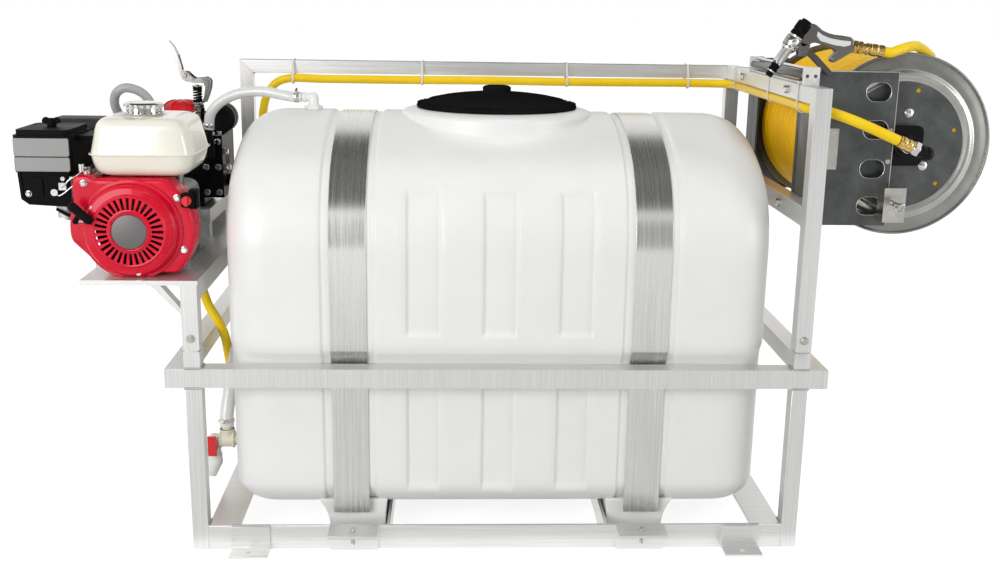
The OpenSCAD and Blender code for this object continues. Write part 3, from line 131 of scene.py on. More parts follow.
def white_floor():
    """A wide square on z = 0. It is white where the camera sees it lit, and darker in shadow."""
    mesh = bpy.data.meshes.new("floor")
    mesh.from_pydata([(-30, -30, 0), (30, -30, 0), (30, 30, 0), (-30, 30, 0)], [], [(0, 1, 2, 3)])
    floor = bpy.data.objects.new("floor", mesh)
    bpy.context.scene.collection.objects.link(floor)
    paper = bpy.data.materials.new("studio_paper")
    paper.use_nodes = True
    tree = paper.node_tree
    tree.nodes.clear()
    out = tree.nodes.new("ShaderNodeOutputMaterial")
    card = tree.nodes.new("ShaderNodeBsdfDiffuse")
    glow = tree.nodes.new("ShaderNodeEmission")
    add = tree.nodes.new("ShaderNodeAddShader")
    path = tree.nodes.new("ShaderNodeLightPath")
    card.inputs["Color"].default_value = (0.55, 0.55, 0.55, 1)
    glow.inputs["Color"].default_value = (0.80, 0.80, 0.80, 1)
    tree.links.new(seen_directly(tree, path), glow.inputs["Strength"])
    tree.links.new(card.outputs[0], add.inputs[0])
    tree.links.new(glow.outputs[0], add.inputs[1])
    tree.links.new(add.outputs[0], out.inputs["Surface"])
    mesh.materials.append(paper)


plain_world()
white_floor()


# %% [markdown]
# ## Lamps
# A studio lights a product with large soft boxes: a key on the left, a weaker fill on the
# right and a little light from above. A small lamp would draw hard shadows, so each one
# here is a square area lamp more than a metre wide.

# %% Lamps
def soft_lamp(name, place, aim, size, watts):
    """A square area lamp at place, turned so that it shines at aim."""
    lamp = bpy.data.lights.new(name, "AREA")
    lamp.shape, lamp.size, lamp.energy = "SQUARE", size, watts
    thing = bpy.data.objects.new(name, lamp)
    thing.location = place
    thing.rotation_euler = (Vector(aim) - Vector(place)).to_track_quat("-Z", "Y").to_euler()
    bpy.context.scene.collection.objects.link(thing)


soft_lamp("key_lamp", (-2.6, -3.6, 1.6), (-0.2, 0, 0.45), 2.4, 100)
soft_lamp("fill_lamp", (4.3, -2.5, 1.4), (0.3, 0, 0.5), 1.8, 52)
soft_lamp("top_lamp", (0.3, -0.8, 3.4), (0, 0, 0.5), 2.0, 16)
bpy.context.scene.view_settings.view_transform = "Standard"


# %% [markdown]
# ## Boards
# Bare metal shows whatever stands round it. Grey cards give it dark and light bands. Only
# reflected rays see these cards, so metal and gloss take their tone and all else stays.

# %% Boards
def board(name, corners, tone):
    """A board that only reflections see, in one grey tone: metal that looks its way turns that tone."""
    mesh = bpy.data.meshes.new(name)
    mesh.from_pydata(corners, [], [(0, 1, 2, 3)])
    card = bpy.data.objects.new(name, mesh)
    bpy.context.scene.collection.objects.link(card)
    paint_ = bpy.data.materials.new(name)
    paint_.use_nodes = True
    tree = paint_.node_tree
    tree.nodes.clear()
    out = tree.nodes.new("ShaderNodeOutputMaterial")
    clear = tree.nodes.new("ShaderNodeBsdfTransparent")
    glow = tree.nodes.new("ShaderNodeEmission")
    mix = tree.nodes.new("ShaderNodeMixShader")
    path = tree.nodes.new("ShaderNodeLightPath")
    glow.inputs["Color"].default_value = (tone, tone, tone, 1)
    tree.links.new(path.outputs["Is Glossy Ray"], mix.inputs["Fac"])
    tree.links.new(clear.outputs[0], mix.inputs[1])
    tree.links.new(glow.outputs[0], mix.inputs[2])
    tree.links.new(mix.outputs[0], out.inputs["Surface"])
    mesh.materials.append(paint_)


board("ceiling_board", [(-1.7, 1.2, 2.2), (1.7, 1.2, 2.2), (1.7, -2.2, 2.2), (-1.7, -2.2, 2.2)], 0.10)
board("front_board", [(-6, -5.5, -0.2), (6, -5.5, -0.2), (6, -5.5, 3.4), (-6, -5.5, 3.4)], 0.45)
board("floor_board", [(-2, -0.42, 0.004), (-2, -2.7, 0.004), (2, -2.7, 0.004), (2, -0.42, 0.004)], 0.78)

# %% [markdown]
# ## Shared effects
# Real finishes repeat a few tricks: fine grain that a mould leaves, long streaks that
# rolling leaves in aluminium, slow blotches where a surface was handled, and dust. Each
# is one node group with named inputs, so that a finish only states how much of it there
# is. A group puts out values or normals, and the shader itself stays in the material.


# %% Node groups
def node_group(name, inputs, outputs):
    """An empty shader group with named float or vector sockets, and its two end nodes."""
    group = bpy.data.node_groups.new(name, "ShaderNodeTree")
    for label, kind, value in inputs:
        socket = group.interface.new_socket(label, in_out="INPUT", socket_type=kind)
        if value is not None:
            socket.default_value = value
    for label, kind in outputs:
        group.interface.new_socket(label, in_out="OUTPUT", socket_type=kind)
    return group, group.nodes.new("NodeGroupInput"), group.nodes.new("NodeGroupOutput")


FLOAT, COLOUR, VECTOR = "NodeSocketFloat", "NodeSocketColor", "NodeSocketVector"


def place_vector(tree, stretch=None):
    """Object coordinates, stretched along each axis."""
    coordinates = tree.nodes.new("ShaderNodeTexCoord")
    if stretch is None:
        return coordinates.outputs["Object"]
    scaled = tree.nodes.new("ShaderNodeVectorMath")
    scaled.operation = "MULTIPLY"
    tree.links.new(coordinates.outputs["Object"], scaled.inputs[0])
    if hasattr(stretch, "links"):
        tree.links.new(stretch, scaled.inputs[1])
    else:
        scaled.inputs[1].default_value = stretch
    return scaled.outputs[0]


def noise(tree, vector, scale, detail=3.0, rough=0.55):
    """Fractal noise from 0 to 1 at that many features a metre."""
    n = tree.nodes.new("ShaderNodeTexNoise")
    n.inputs["Detail"].default_value = detail
    n.inputs["Roughness"].default_value = rough
    if hasattr(scale, "links"):
        tree.links.new(scale, n.inputs["Scale"])
    else:
        n.inputs["Scale"].default_value = scale
    tree.links.new(vector, n.inputs["Vector"])
    return n.outputs["Fac"]


def spread(tree, value, low, high, to_low=0.0, to_high=1.0):
    """Stretches the part of a value between low and high over a new range."""
    m = tree.nodes.new("ShaderNodeMapRange")
    tree.links.new(value, m.inputs["Value"])
    for label, v in (("From Min", low), ("From Max", high), ("To Min", to_low), ("To Max", to_high)):
        if hasattr(v, "links"):
            tree.links.new(v, m.inputs[label])
        else:
            m.inputs[label].default_value = v
    return m.outputs["Result"]


def math_node(tree, kind, a, b):
    """One arithmetic step between two values."""
    m = tree.nodes.new("ShaderNodeMath")
    m.operation = kind
    for i, v in enumerate((a, b)):
        if hasattr(v, "links"):
            tree.links.new(v, m.inputs[i])
        else:
            m.inputs[i].default_value = v
    return m.outputs[0]


def blend_colour(tree, factor, a, b):
    """A colour between a and b."""
    m = tree.nodes.new("ShaderNodeMix")
    m.data_type = "RGBA"
    if hasattr(factor, "links"):
        tree.links.new(factor, m.inputs["Factor"])
    else:
        m.inputs["Factor"].default_value = factor
    for label, v in (("A", a), ("B", b)):
        socket = [s for s in m.inputs if s.name == label and s.type == "RGBA"][0]
        if hasattr(v, "links"):
            tree.links.new(v, socket)
        else:
            socket.default_value = (*v, 1)
    return [s for s in m.outputs if s.type == "RGBA"][0]


def make_streaks():
    """Noise squeezed across the rolling direction: long thin streaks, as a value and a normal."""
    g, i, o = node_group("rolled_streaks", [("Stretch", VECTOR, (4, 900, 900)), ("Height", FLOAT, 0.02)],
                         [("Value", FLOAT), ("Normal", VECTOR)])
    v = noise(g, place_vector(g, i.outputs["Stretch"]), 1.0, 4.0, 0.6)
    bump = g.nodes.new("ShaderNodeBump")
    bump.inputs["Distance"].default_value = 0.001
    g.links.new(i.outputs["Height"], bump.inputs["Strength"])
    g.links.new(v, bump.inputs["Height"])
    g.links.new(v, o.inputs["Value"])
    g.links.new(bump.outputs[0], o.inputs["Normal"])
    return g


def make_grain():
    """Fine noise over the surface as a normal, with slow blotches as a value."""
    g, i, o = node_group("mould_grain", [("Scale", FLOAT, 900.0), ("Height", FLOAT, 0.05),
                                         ("Blotch Scale", FLOAT, 9.0)],
                         [("Blotch", FLOAT), ("Normal", VECTOR)])
    where = place_vector(g)
    fine = noise(g, where, i.outputs["Scale"], 3.0)
    slow = noise(g, where, i.outputs["Blotch Scale"], 4.0, 0.6)
    bump = g.nodes.new("ShaderNodeBump")
    bump.inputs["Distance"].default_value = 0.001
    g.links.new(i.outputs["Height"], bump.inputs["Strength"])
    g.links.new(fine, bump.inputs["Height"])
    g.links.new(slow, o.inputs["Blotch"])
    g.links.new(bump.outputs[0], o.inputs["Normal"])
    return g


def make_dust():
    """Specks and scuffs: a mask that is 1 in a few small spots and on faces that look up."""
    g, i, o = node_group("light_dust", [("Amount", FLOAT, 0.3)], [("Mask", FLOAT)])
    where = place_vector(g)
    specks = spread(g, noise(g, where, 160.0, 5.0, 0.7), 0.56, 0.75)
    geometry = g.nodes.new("ShaderNodeNewGeometry")
    split = g.nodes.new("ShaderNodeSeparateXYZ")
    g.links.new(geometry.outputs["Normal"], split.inputs[0])
    flat = spread(g, split.outputs["Z"], 0.2, 1.0, 0.25, 1.0)
    g.links.new(math_node(g, "MULTIPLY", math_node(g, "MULTIPLY", specks, flat), i.outputs["Amount"]),
                o.inputs["Mask"])
    return g


STREAKS, GRAIN, DUST = make_streaks(), make_grain(), make_dust()


# %% [markdown]
# ## Finishes
# Every finish below starts from the same short recipe: a base colour that drifts a
# little, a roughness that follows the drift, a grain or streaks in the normal, and some
# dust. What makes aluminium differ from paint is only the numbers and one or two
# constant sockets, such as Metallic or Coat Weight.


# %% Finish recipe
def finish(name, colour, rough, metal=0.0, drift=0.06, grain=0.05, grain_scale=900.0, blotch=9.0,
           streaks=None, streak_height=0.03, dust=0.25, dust_colour=(0.62, 0.58, 0.5), **constant):
    """Base colour between two shades by blotches or streaks, roughness likewise, then dust."""
    m = bpy.data.materials.new(name)
    m.use_nodes = True
    tree = m.node_tree
    shader = tree.nodes["Principled BSDF"]
    shader.inputs["Metallic"].default_value = metal
    for label, value in constant.items():
        shader.inputs[label.replace("_", " ").title().replace("Ior", "IOR")].default_value = value
    effect = tree.nodes.new("ShaderNodeGroup")
    if streaks:
        effect.node_tree = STREAKS
        effect.inputs["Stretch"].default_value = streaks
        effect.inputs["Height"].default_value = streak_height
        vary = effect.outputs["Value"]
    else:
        effect.node_tree = GRAIN
        effect.inputs["Scale"].default_value = grain_scale
        effect.inputs["Height"].default_value = grain
        effect.inputs["Blotch Scale"].default_value = blotch
        vary = effect.outputs["Blotch"]
    vary = spread(tree, vary, 0.3, 0.7)
    dark = tuple(max(0, c * (1 - drift)) for c in colour)
    light = tuple(min(1, c * (1 + drift)) for c in colour)
    tone = blend_colour(tree, vary, dark, light)
    speck = tree.nodes.new("ShaderNodeGroup")
    speck.node_tree = DUST
    speck.inputs["Amount"].default_value = dust
    tree.links.new(blend_colour(tree, speck.outputs["Mask"], tone, dust_colour), shader.inputs["Base Color"])
    r = spread(tree, vary, 0.0, 1.0, rough * 0.85, min(1.0, rough * 1.2))
    tree.links.new(math_node(tree, "ADD", r, math_node(tree, "MULTIPLY", speck.outputs["Mask"], 0.3)),
                   shader.inputs["Roughness"])
    tree.links.new(effect.outputs["Normal"], shader.inputs["Normal"])
    return m


MILL = (0.74, 0.74, 0.73)
MILL_X = finish("mill_aluminium_x", MILL, 0.34, 0.8, 0.10, streaks=(5, 700, 700), dust=0.08)
MILL_Y = finish("mill_aluminium_y", MILL, 0.34, 0.8, 0.10, streaks=(700, 5, 700), dust=0.08)
MILL_Z = finish("mill_aluminium_z", MILL, 0.34, 0.8, 0.10, streaks=(700, 700, 5), dust=0.08)
TANK_WHITE = finish("tank_polyethylene", (0.84, 0.84, 0.82), 0.36, grain=0.04, grain_scale=500, drift=0.02,
                    dust=0.05, coat_weight=0.12, coat_roughness=0.25)
LID_BLACK = finish("lid_black", (0.010, 0.010, 0.010), 0.5, grain=0.12, drift=0.2, dust=0.01,
                   specular_ior_level=0.0)
MOULDED_BLACK = finish("moulded_black", (0.007, 0.007, 0.008), 0.45, grain=0.15, drift=0.2, dust=0.01,
                       specular_ior_level=0.03)
PVC_WHITE = finish("white_pvc", (0.82, 0.82, 0.79), 0.3, grain=0.04, dust=0.1)
NYLON_CREAM = finish("cream_nylon", (0.74, 0.71, 0.55), 0.42, grain=0.08, dust=0.15)
HANDLE_RED = finish("handle_red", (0.70, 0.02, 0.02), 0.35, grain=0.06, dust=0.1)
ENGINE_RED = finish("engine_red", (0.66, 0.0015, 0.026), 0.26, grain=0.03, drift=0.05, dust=0.0,
                    specular_ior_level=0.18, coat_weight=0.3, coat_roughness=0.08)
PUMP_RED = finish("pump_red", (0.66, 0.008, 0.012), 0.33, grain=0.12, grain_scale=500, drift=0.08, dust=0.02,
                  specular_ior_level=0.3)
FUEL_CREAM = finish("fuel_tank_cream", (0.84, 0.82, 0.71), 0.22, grain=0.02, drift=0.02, dust=0.04,
                    coat_weight=0.7, coat_roughness=0.06)
CAST = finish("cast_aluminium", (0.46, 0.46, 0.46), 0.45, 0.85, 0.12, grain=0.35, grain_scale=700, dust=0.2)
STEEL = finish("turned_steel", (0.50, 0.50, 0.50), 0.25, 1.0, 0.08, streaks=(600, 40, 600), dust=0.1)
ZINC = finish("zinc_plate", (0.50, 0.49, 0.45), 0.30, 1.0, 0.14, grain=0.08, blotch=40, dust=0.08)
CHROME = finish("chrome_plate", (0.66, 0.65, 0.64), 0.10, 1.0, 0.03, grain=0.004, dust=0.0)
MUFFLER_BLACK = finish("heat_black", (0.03, 0.03, 0.03), 0.55, 0.3, 0.25, grain=0.2, dust=0.2)
GLOSS_BLACK = finish("gloss_black", (0.006, 0.006, 0.007), 0.3, grain=0.05, drift=0.2, dust=0.02,
                     specular_ior_level=0.12)
REEL_GREY = finish("reel_powder_coat", (0.088, 0.094, 0.092), 0.36, 0.6, 0.28, grain=0.2, grain_scale=1400,
                   blotch=22, dust=0.05)
GUIDE_WHITE = finish("white_powder_coat", (0.74, 0.74, 0.72), 0.35, grain=0.15, dust=0.12)
BRASS = finish("brass", (0.66, 0.45, 0.15), 0.25, 1.0, 0.1, streaks=(300, 300, 40), dust=0.06)
GUN_GREY = finish("gun_grey", (0.17, 0.165, 0.16), 0.32, 0.75, 0.15, grain=0.15, dust=0.05)
DARK_CHROME = finish("dark_chrome", (0.34, 0.33, 0.32), 0.12, 1.0, 0.1, grain=0.006, blotch=60, dust=0.0)
HOSE_YELLOW = finish("hose_yellow", (1.0, 0.66, 0.010), 0.34, grain=0.06, drift=0.05, blotch=25, dust=0.0,
                     specular_ior_level=0.3)
HOSE_CLEAR = finish("hose_clear", (0.76, 0.76, 0.74), 0.22, grain=0.04, drift=0.06, dust=0.1,
                    coat_weight=0.5, coat_roughness=0.1)
HOSE_GREY = finish("hose_grey", (0.42, 0.42, 0.41), 0.45, grain=0.1, dust=0.15)
LEVER_GREY = finish("lever_grey", (0.09, 0.09, 0.09), 0.32, 0.6, 0.1, grain=0.1, dust=0.1)
print("finishes:", len(bpy.data.materials))

# %% [markdown]
# ## Surfaces from numpy
# Almost every shape on a machine is one of four things: a flat outline pushed straight
# through space, a profile spun round an axis, a ring carried along a path, or a skin
# stretched over a row of sections. Each is a grid of points, worked out as whole arrays.


# %% Building blocks
def grid_faces(rows, columns, wrap_rows=False, wrap_columns=False):
    """Quads that join each point of a rows x columns grid to its neighbours."""
    r = np.arange(rows if wrap_rows else rows - 1)
    c = np.arange(columns if wrap_columns else columns - 1)
    r, c = (a.ravel() for a in np.meshgrid(r, c, indexing="ij"))
    r1, c1 = (r + 1) % rows, (c + 1) % columns
    corners = [r * columns + c, r * columns + c1, r1 * columns + c1, r1 * columns + c]
    return np.stack(corners, 1).tolist()


def join(*parts):
    """Several (points, faces) pairs as one, the face numbers moved along."""
    points, faces, n = [], [], 0
    for p, f in parts:
        p = np.asarray(p, float)
        points.append(p)
        faces += [[v + n for v in face] for face in f]
        n += len(p)
    return np.concatenate(points), faces


def frame_of(axis):
    """Two directions at right angles to an axis: for Y they are X and Z, as seen from the front."""
    axis = np.asarray(axis, float) / np.linalg.norm(axis)
    first = np.array([1.0, 0, 0]) if abs(axis[0]) < 0.9 else np.array([0, 1.0, 0])
    first = first - axis * (first @ axis)
    first /= np.linalg.norm(first)
    return first, np.cross(axis, first), axis


def lathe(profile, centre, axis=(0, 0, 1), steps=64):
    """Spins (radius, height) points about an axis: centre + height*axis + radius*(cos t*u + sin t*v)."""
    u, v, w = frame_of(axis)
    profile = np.asarray(profile, float)
    t = np.linspace(0, 2 * np.pi, steps, endpoint=False)
    ring = np.cos(t)[:, None] * u + np.sin(t)[:, None] * v
    points = np.asarray(centre, float) + profile[:, None, 1:2] * w + profile[:, None, 0:1] * ring[None]
    return points.reshape(-1, 3), grid_faces(len(profile), steps, wrap_columns=True)


def disc_lathe(profile, centre, axis=(0, 0, 1), steps=64):
    """A spun profile whose first and last points lie on the axis, each closed by a fan."""
    points, faces = lathe(profile[1:-1], centre, axis, steps)
    w = frame_of(axis)[2]
    ends = np.asarray(centre, float) + np.array([profile[0][1], profile[-1][1]])[:, None] * w
    n, last = len(points), len(points) - steps
    faces += [[n, (k + 1) % steps, k] for k in range(steps)]
    faces += [[n + 1, last + k, last + (k + 1) % steps] for k in range(steps)]
    return np.concatenate([points, ends]), faces


def push(outline, low, high, axis="y"):
    """A flat outline in the two other axes, pushed from low to high, closed by one face at each end."""
    outline = np.asarray(outline, float)
    n = len(outline)
    order = {"x": (2, 0, 1), "y": (0, 2, 1), "z": (0, 1, 2)}[axis]
    both = []
    for level in (low, high):
        flat = np.column_stack([outline, np.full(n, float(level))])
        both.append(flat[:, order])
    faces = [[k, (k + 1) % n, n + (k + 1) % n, n + k] for k in range(n)]
    return np.concatenate(both), faces + [list(range(n))[::-1], list(range(n, 2 * n))]


def slab(low, high):
    """A plain block between two corners, for a bevel to soften."""
    (x0, y0, z0), (x1, y1, z1) = low, high
    return push([(x0, y0), (x1, y0), (x1, y1), (x0, y1)], z0, z1, "z")


def rounded(low, high, radius, steps=6):
    """Outline of a rectangle with round corners, anticlockwise."""
    (x0, y0), (x1, y1) = low, high
    a = np.linspace(0, np.pi / 2, steps + 1)
    corners = [(x1 - radius, y1 - radius, 0), (x0 + radius, y1 - radius, 1),
               (x0 + radius, y0 + radius, 2), (x1 - radius, y0 + radius, 3)]
    return np.concatenate([np.column_stack([cx + radius * np.cos(a + k * np.pi / 2),
                                            cy + radius * np.sin(a + k * np.pi / 2)])
                           for cx, cy, k in corners])


def through(points, steps=8):
    """A smooth curve through given points: the Catmull-Rom blend of each four neighbours."""
    p = np.asarray(points, float)
    q = np.concatenate([p[:1], p, p[-1:]])
    t = np.linspace(0, 1, steps, endpoint=False)[:, None]
    out = [0.5 * (2 * b + (c - a) * t + (2 * a - 5 * b + 4 * c - d) * t**2 + (3 * b - a - 3 * c + d) * t**3)
           for a, b, c, d in zip(q[:-3], q[1:-2], q[2:-1], q[3:])]
    return np.concatenate(out + [p[-1:]])


def carry(path, radius, sides=16, start=(0, 0, 1)):
    """A round tube: at each point of a path, a ring at right angles to it, carried without twist."""
    path = np.asarray(path, float)
    heading = np.gradient(path, axis=0)
    heading /= np.linalg.norm(heading, axis=1)[:, None]
    side = np.asarray(start, float)
    sides_out = []
    for h in heading:
        side = side - h * (side @ h)
        side = side / np.linalg.norm(side)
        sides_out.append(side)
    u = np.array(sides_out)
    v = np.cross(heading, u)
    t = np.linspace(0, 2 * np.pi, sides, endpoint=False)
    r = np.broadcast_to(np.asarray(radius, float), (len(path),))[:, None, None]
    ring = np.cos(t)[None, :, None] * u[:, None] + np.sin(t)[None, :, None] * v[:, None]
    points = path[:, None] + r * ring
    faces = grid_faces(len(path), sides, wrap_columns=True)
    faces += [list(range(sides)), list(range((len(path) - 1) * sides, len(path) * sides))[::-1]]
    return points.reshape(-1, 3), faces


def wire(points, radius, steps=6, sides=10):
    """A round tube along a smooth curve through a few points."""
    return carry(through(points, steps), radius, sides)


def moved(part, shift=(0, 0, 0), turn=None):
    """A part turned by a 3 x 3 matrix and then shifted."""
    points = np.asarray(part[0], float)
    if turn is not None:
        points = points @ np.asarray(turn, float).T
    return points + np.asarray(shift, float), part[1]


def about(axis, degrees):
    """The matrix of a turn about x, y or z by the right-hand rule."""
    return np.array(Matrix.Rotation(math.radians(degrees), 3, axis.upper()))


def bolt_head(centre, axis, across, height, washer=True):
    """A hexagon head with a chamfered crown, standing on a thin washer."""
    base = 1.4 if washer else 0.0
    half = across / 2 / math.cos(math.pi / 6)
    head = disc_lathe([(0, base), (half, base), (half, base + height * 0.82), (half * 0.86, base + height),
                       (0, base + height)], centre, axis, 6)
    if not washer:
        return head
    r = across * 0.68
    ring = [(0, 0), (r, 0), (r, base * 0.8), (r - 0.4, base), (0, base)]
    return join(head, disc_lathe(ring, centre, axis, 24))


# %% [markdown]
# ## From arrays to pieces
# A piece becomes a Blender object here, and nowhere else. Millimetres turn into metres,
# the faces are turned to point outwards, and the object is told which body of the model
# it moves with. The plain solids it stands for are hidden. A small bevel, made by a modifier,
# catches the light along edges as the rounded edge of a real part does.


# %% Piece maker
def piece(name, part, body, material, stands_for=(), smooth=40.0, bevel=0.0, segments=2,
          outward=True):
    """Makes a mesh object from points in millimetres, with its finish, its body and its bevel."""
    points, faces = part
    mesh = bpy.data.meshes.new(name)
    mesh.from_pydata((np.asarray(points, float) * 0.001).tolist(), [], faces)
    mesh.validate()
    thing = bpy.data.objects.new(name, mesh)
    bpy.context.scene.collection.objects.link(thing)
    mesh.materials.append(material)
    if outward:
        turn_outwards(mesh)
    return dress(thing, body, stands_for, smooth, bevel, segments)


def turn_outwards(mesh):
    """Merges doubled points and makes every closed shell's faces point away from its inside."""
    import bmesh
    b = bmesh.new()
    b.from_mesh(mesh)
    bmesh.ops.remove_doubles(b, verts=b.verts, dist=2e-6)
    bmesh.ops.recalc_face_normals(b, faces=b.faces)
    b.to_mesh(mesh)
    b.free()


def dress(thing, body, stands_for=(), smooth=40.0, bevel=0.0, segments=2):
    """Shading by angle, an optional bevel, then body and the solids it stands for."""
    mesh = thing.data
    mesh.shade_smooth()
    if bevel:
        m = thing.modifiers.new("edge", "BEVEL")
        m.width, m.segments = bevel * 0.001, segments
        m.limit_method, m.angle_limit = "ANGLE", math.radians(35)
        m.harden_normals = False
        m.use_clamp_overlap = True
    mesh.set_sharp_from_angle(angle=math.radians(smooth))
    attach(thing, body)
    if stands_for:
        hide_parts(*stands_for)
    return thing


def softened(node, material, bevel=0.8, body="frame", smooth=35.0):
    """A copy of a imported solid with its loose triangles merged, flats joined, and edges bevelled."""
    import bmesh
    mesh = NODES[node].data.copy()
    mesh.name = node + "_soft"
    b = bmesh.new()
    b.from_mesh(mesh)
    bmesh.ops.remove_doubles(b, verts=b.verts, dist=1e-6)
    bmesh.ops.dissolve_limit(b, angle_limit=math.radians(1), verts=b.verts, edges=b.edges)
    b.to_mesh(mesh)
    b.free()
    mesh.materials.clear()
    mesh.materials.append(material)
    thing = bpy.data.objects.new(node + "_soft", mesh)
    bpy.context.scene.collection.objects.link(thing)
    return dress(thing, body, (node,), smooth, bevel, 2)


def paint(node, material):
    """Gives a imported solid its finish; its shape stays as it is."""
    mesh = NODES[node].data
    mesh.materials.clear()
    mesh.materials.append(material)


BODY_OF = {n: o["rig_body"] for n, o in NODES.items()}
# Names and sizes that the model was made from, in millimetres
FRAME_W, FRAME_D, FRAME_H, POST = 1220, 762, 927, 31.75
HW, HD = FRAME_W / 2, FRAME_D / 2
RING_W, RING_Z = 38.1, 340.5

# %% [markdown]
# ## First coat
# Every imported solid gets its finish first, so that nothing is ever bare. Later cells
# replace the ones that deserve a finer surface.

# %% First coat
FIRST_COAT = {
    MILL_X: "base_frame tank_cradles hold_down_feet strap_clips belt_ring side_rails engine_deck",
    MILL_Z: "lower_posts upper_posts tank_straps",
    ZINC: "frame_bolts strap_bolts throttle_lever reel_lock_pin",
    TANK_WHITE: "tank_shell tank_neck tank_feet",
    LID_BLACK: "tank_lid",
    PVC_WHITE: "return_elbow drain_valve",
    NYLON_CREAM: "outlet_tee",
    HANDLE_RED: "valve_handle engine_switch",
    HOSE_CLEAR: "return_hose suction_hose",
    HOSE_GREY: "bypass_hose",
    HOSE_YELLOW: "discharge_hose hose_pack gun_hose",
    CAST: "crankcase cylinder_head carburettor",
    STEEL: "pump_shaft",
    ENGINE_RED: "fan_cover starter_cover",
    PUMP_RED: "pump_heads",
    FUEL_CREAM: "fuel_tank",
    CHROME: "fuel_cap regulator regulator_lever spray_gun",
    MUFFLER_BLACK: "muffler crankshaft",
    GLOSS_BLACK: "pump_body dampener reel_bearings swivel",
    REEL_GREY: "reel_frame reel_drum reel_crank",
    GUIDE_WHITE: "hose_guide",
    LEVER_GREY: "gun_trigger",
    MOULDED_BLACK: "starter_grip air_cleaner_base air_cleaner_cover wing_nut crank_grip guide_roller_left "
                   "guide_roller_right hose_ties",
}
for material, names in FIRST_COAT.items():
    for name in names.split():
        paint(name, material)
bare = [n for n, o in NODES.items() if not any(m in FIRST_COAT for m in o.data.materials)]
print("solids without a finish:", bare)

# %% [markdown]
# ## Square tube and angle
# The frame is welded from extruded aluminium. An extrusion never has a knife edge: its
# corners carry a radius of about a millimetre, which draws a thin bright line along each
# edge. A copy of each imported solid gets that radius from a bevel. Rolling and drawing
# leave faint lines along the length, so members that run back get their own direction.


# %% Frame
def second_finish(thing, material, chosen):
    """Gives a second finish to the faces whose centres (in millimetres) pass a test."""
    mesh = thing.data
    mesh.materials.append(material)
    centres = np.zeros(len(mesh.polygons) * 3)
    mesh.polygons.foreach_get("center", centres)
    mask = chosen(*(centres.reshape(-1, 3) * 1000).T)
    slots = np.zeros(len(mesh.polygons), np.int32)
    mesh.polygons.foreach_get("material_index", slots)
    slots[mask] = len(mesh.materials) - 1
    mesh.polygons.foreach_set("material_index", slots)


base = softened("base_frame", MILL_X, 1.0)
second_finish(base, MILL_Y, lambda x, y, z: (np.abs(x) > HW - POST - 64) & (np.abs(y) < HD - 7))
softened("tank_cradles", MILL_Y, 0.8)
softened("hold_down_feet", MILL_X, 0.9)
softened("strap_clips", MILL_X, 0.9)
softened("lower_posts", MILL_Z, 1.2)
ring = softened("belt_ring", MILL_X, 1.4)
second_finish(ring, MILL_Y, lambda x, y, z: (np.abs(x) > HW) & (np.abs(y) < HD - RING_W))
second_finish(ring, MILL_Z, lambda x, y, z: z > RING_Z + RING_W + 0.5)
softened("upper_posts", MILL_Z, 1.2)
rails = softened("side_rails", MILL_X, 1.2)
second_finish(rails, MILL_Y, lambda x, y, z: (x > HW - POST - 0.1) & (np.abs(y) < HD - POST + 0.1))
softened("engine_deck", MILL_Y, 0.8)
softened("frame_bolts", ZINC, 0.4)

# %% [markdown]
# ## Weld beads
# Where two members meet, a welder lays down a row of overlapping puddles, like a stack
# of coins pushed over. A bead is a thin tube along the joint whose radius swells once
# for every puddle.


# %% Welds
def bead(a, b, radius=2.6, pitch=3.6):
    """A straight row of puddles: the radius at distance s is radius*(0.78 + 0.22*|sin(pi*s/pitch)|)."""
    a, b = np.asarray(a, float), np.asarray(b, float)
    length = np.linalg.norm(b - a)
    s = np.linspace(0, length, max(6, int(length / pitch * 5)))
    swell = radius * (0.78 + 0.22 * np.abs(np.sin(np.pi * s / pitch)))
    swell[[0, -1]] *= 0.5
    return carry(a + (b - a) * (s / length)[:, None], swell, 8, start=(0.3, 0.5, 0.8))


def both_sides(points):
    """The same pair of ends at all four corners of the frame."""
    signs = np.array([(sx, sy, 1) for sx in (-1, 1) for sy in (-1, 1)], float)
    return [[np.asarray(p, float) * s for p in points] for s in signs]


x_in, y_in = HW - POST, HD - POST
bead_ends = []
for pair in ([(x_in, HD - 6, 6.5), (x_in, HD - 6, 50)], [(x_in - 1, y_in, 50.8), (x_in - 1, HD - 1, 50.8)],
             [(x_in, y_in, 52), (HW - 6, y_in, 52)],
             [(x_in, HD - 0.5, RING_Z - 1), (HW, HD - 0.5, RING_Z - 1)],
             [(HW + 0.5, y_in, RING_Z - 1), (HW + 0.5, HD, RING_Z - 1)],
             [(x_in, HD - 0.5, RING_Z + RING_W + 1), (HW, HD - 0.5, RING_Z + RING_W + 1)],
             [(x_in - 1, y_in, RING_Z + RING_W + 1), (x_in - 1, HD, RING_Z + RING_W + 1)],
             [(494 - 38, HD, 51), (494 + 38, HD, 51)]):
    bead_ends += both_sides(pair)
bead_ends += [[(HW, -y_in, 896), (HW, -HD + POST, 926)], [(x_in, -y_in + 1, 895), (HW, -y_in + 1, 895)],
              [(x_in, y_in - 1, 895), (HW, y_in - 1, 895)], [(x_in - 1, y_in, 895), (x_in - 1, HD, 895)],
              [(-HW + POST + 1, y_in, 894), (-HW + POST + 1, HD - 1, 894)],
              [(x_in, -y_in + 1, 661.5), (HW, -y_in + 1, 661.5)],
              [(x_in, y_in - 1, 661.5), (HW, y_in - 1, 661.5)],
              [(HW - 0.5, -y_in + 1, 663), (HW - 0.5, -y_in + 1, 699)],
              [(-HW - 1, -HD + 4, 500), (-HW - 1, -HD + 27, 500)],
              [(-HW - 1, HD - 27, 500), (-HW - 1, HD - 4, 500)],
              [(-HW + 1, -HD + 1, 549), (-HW + POST - 1, -HD + 1, 549)]]
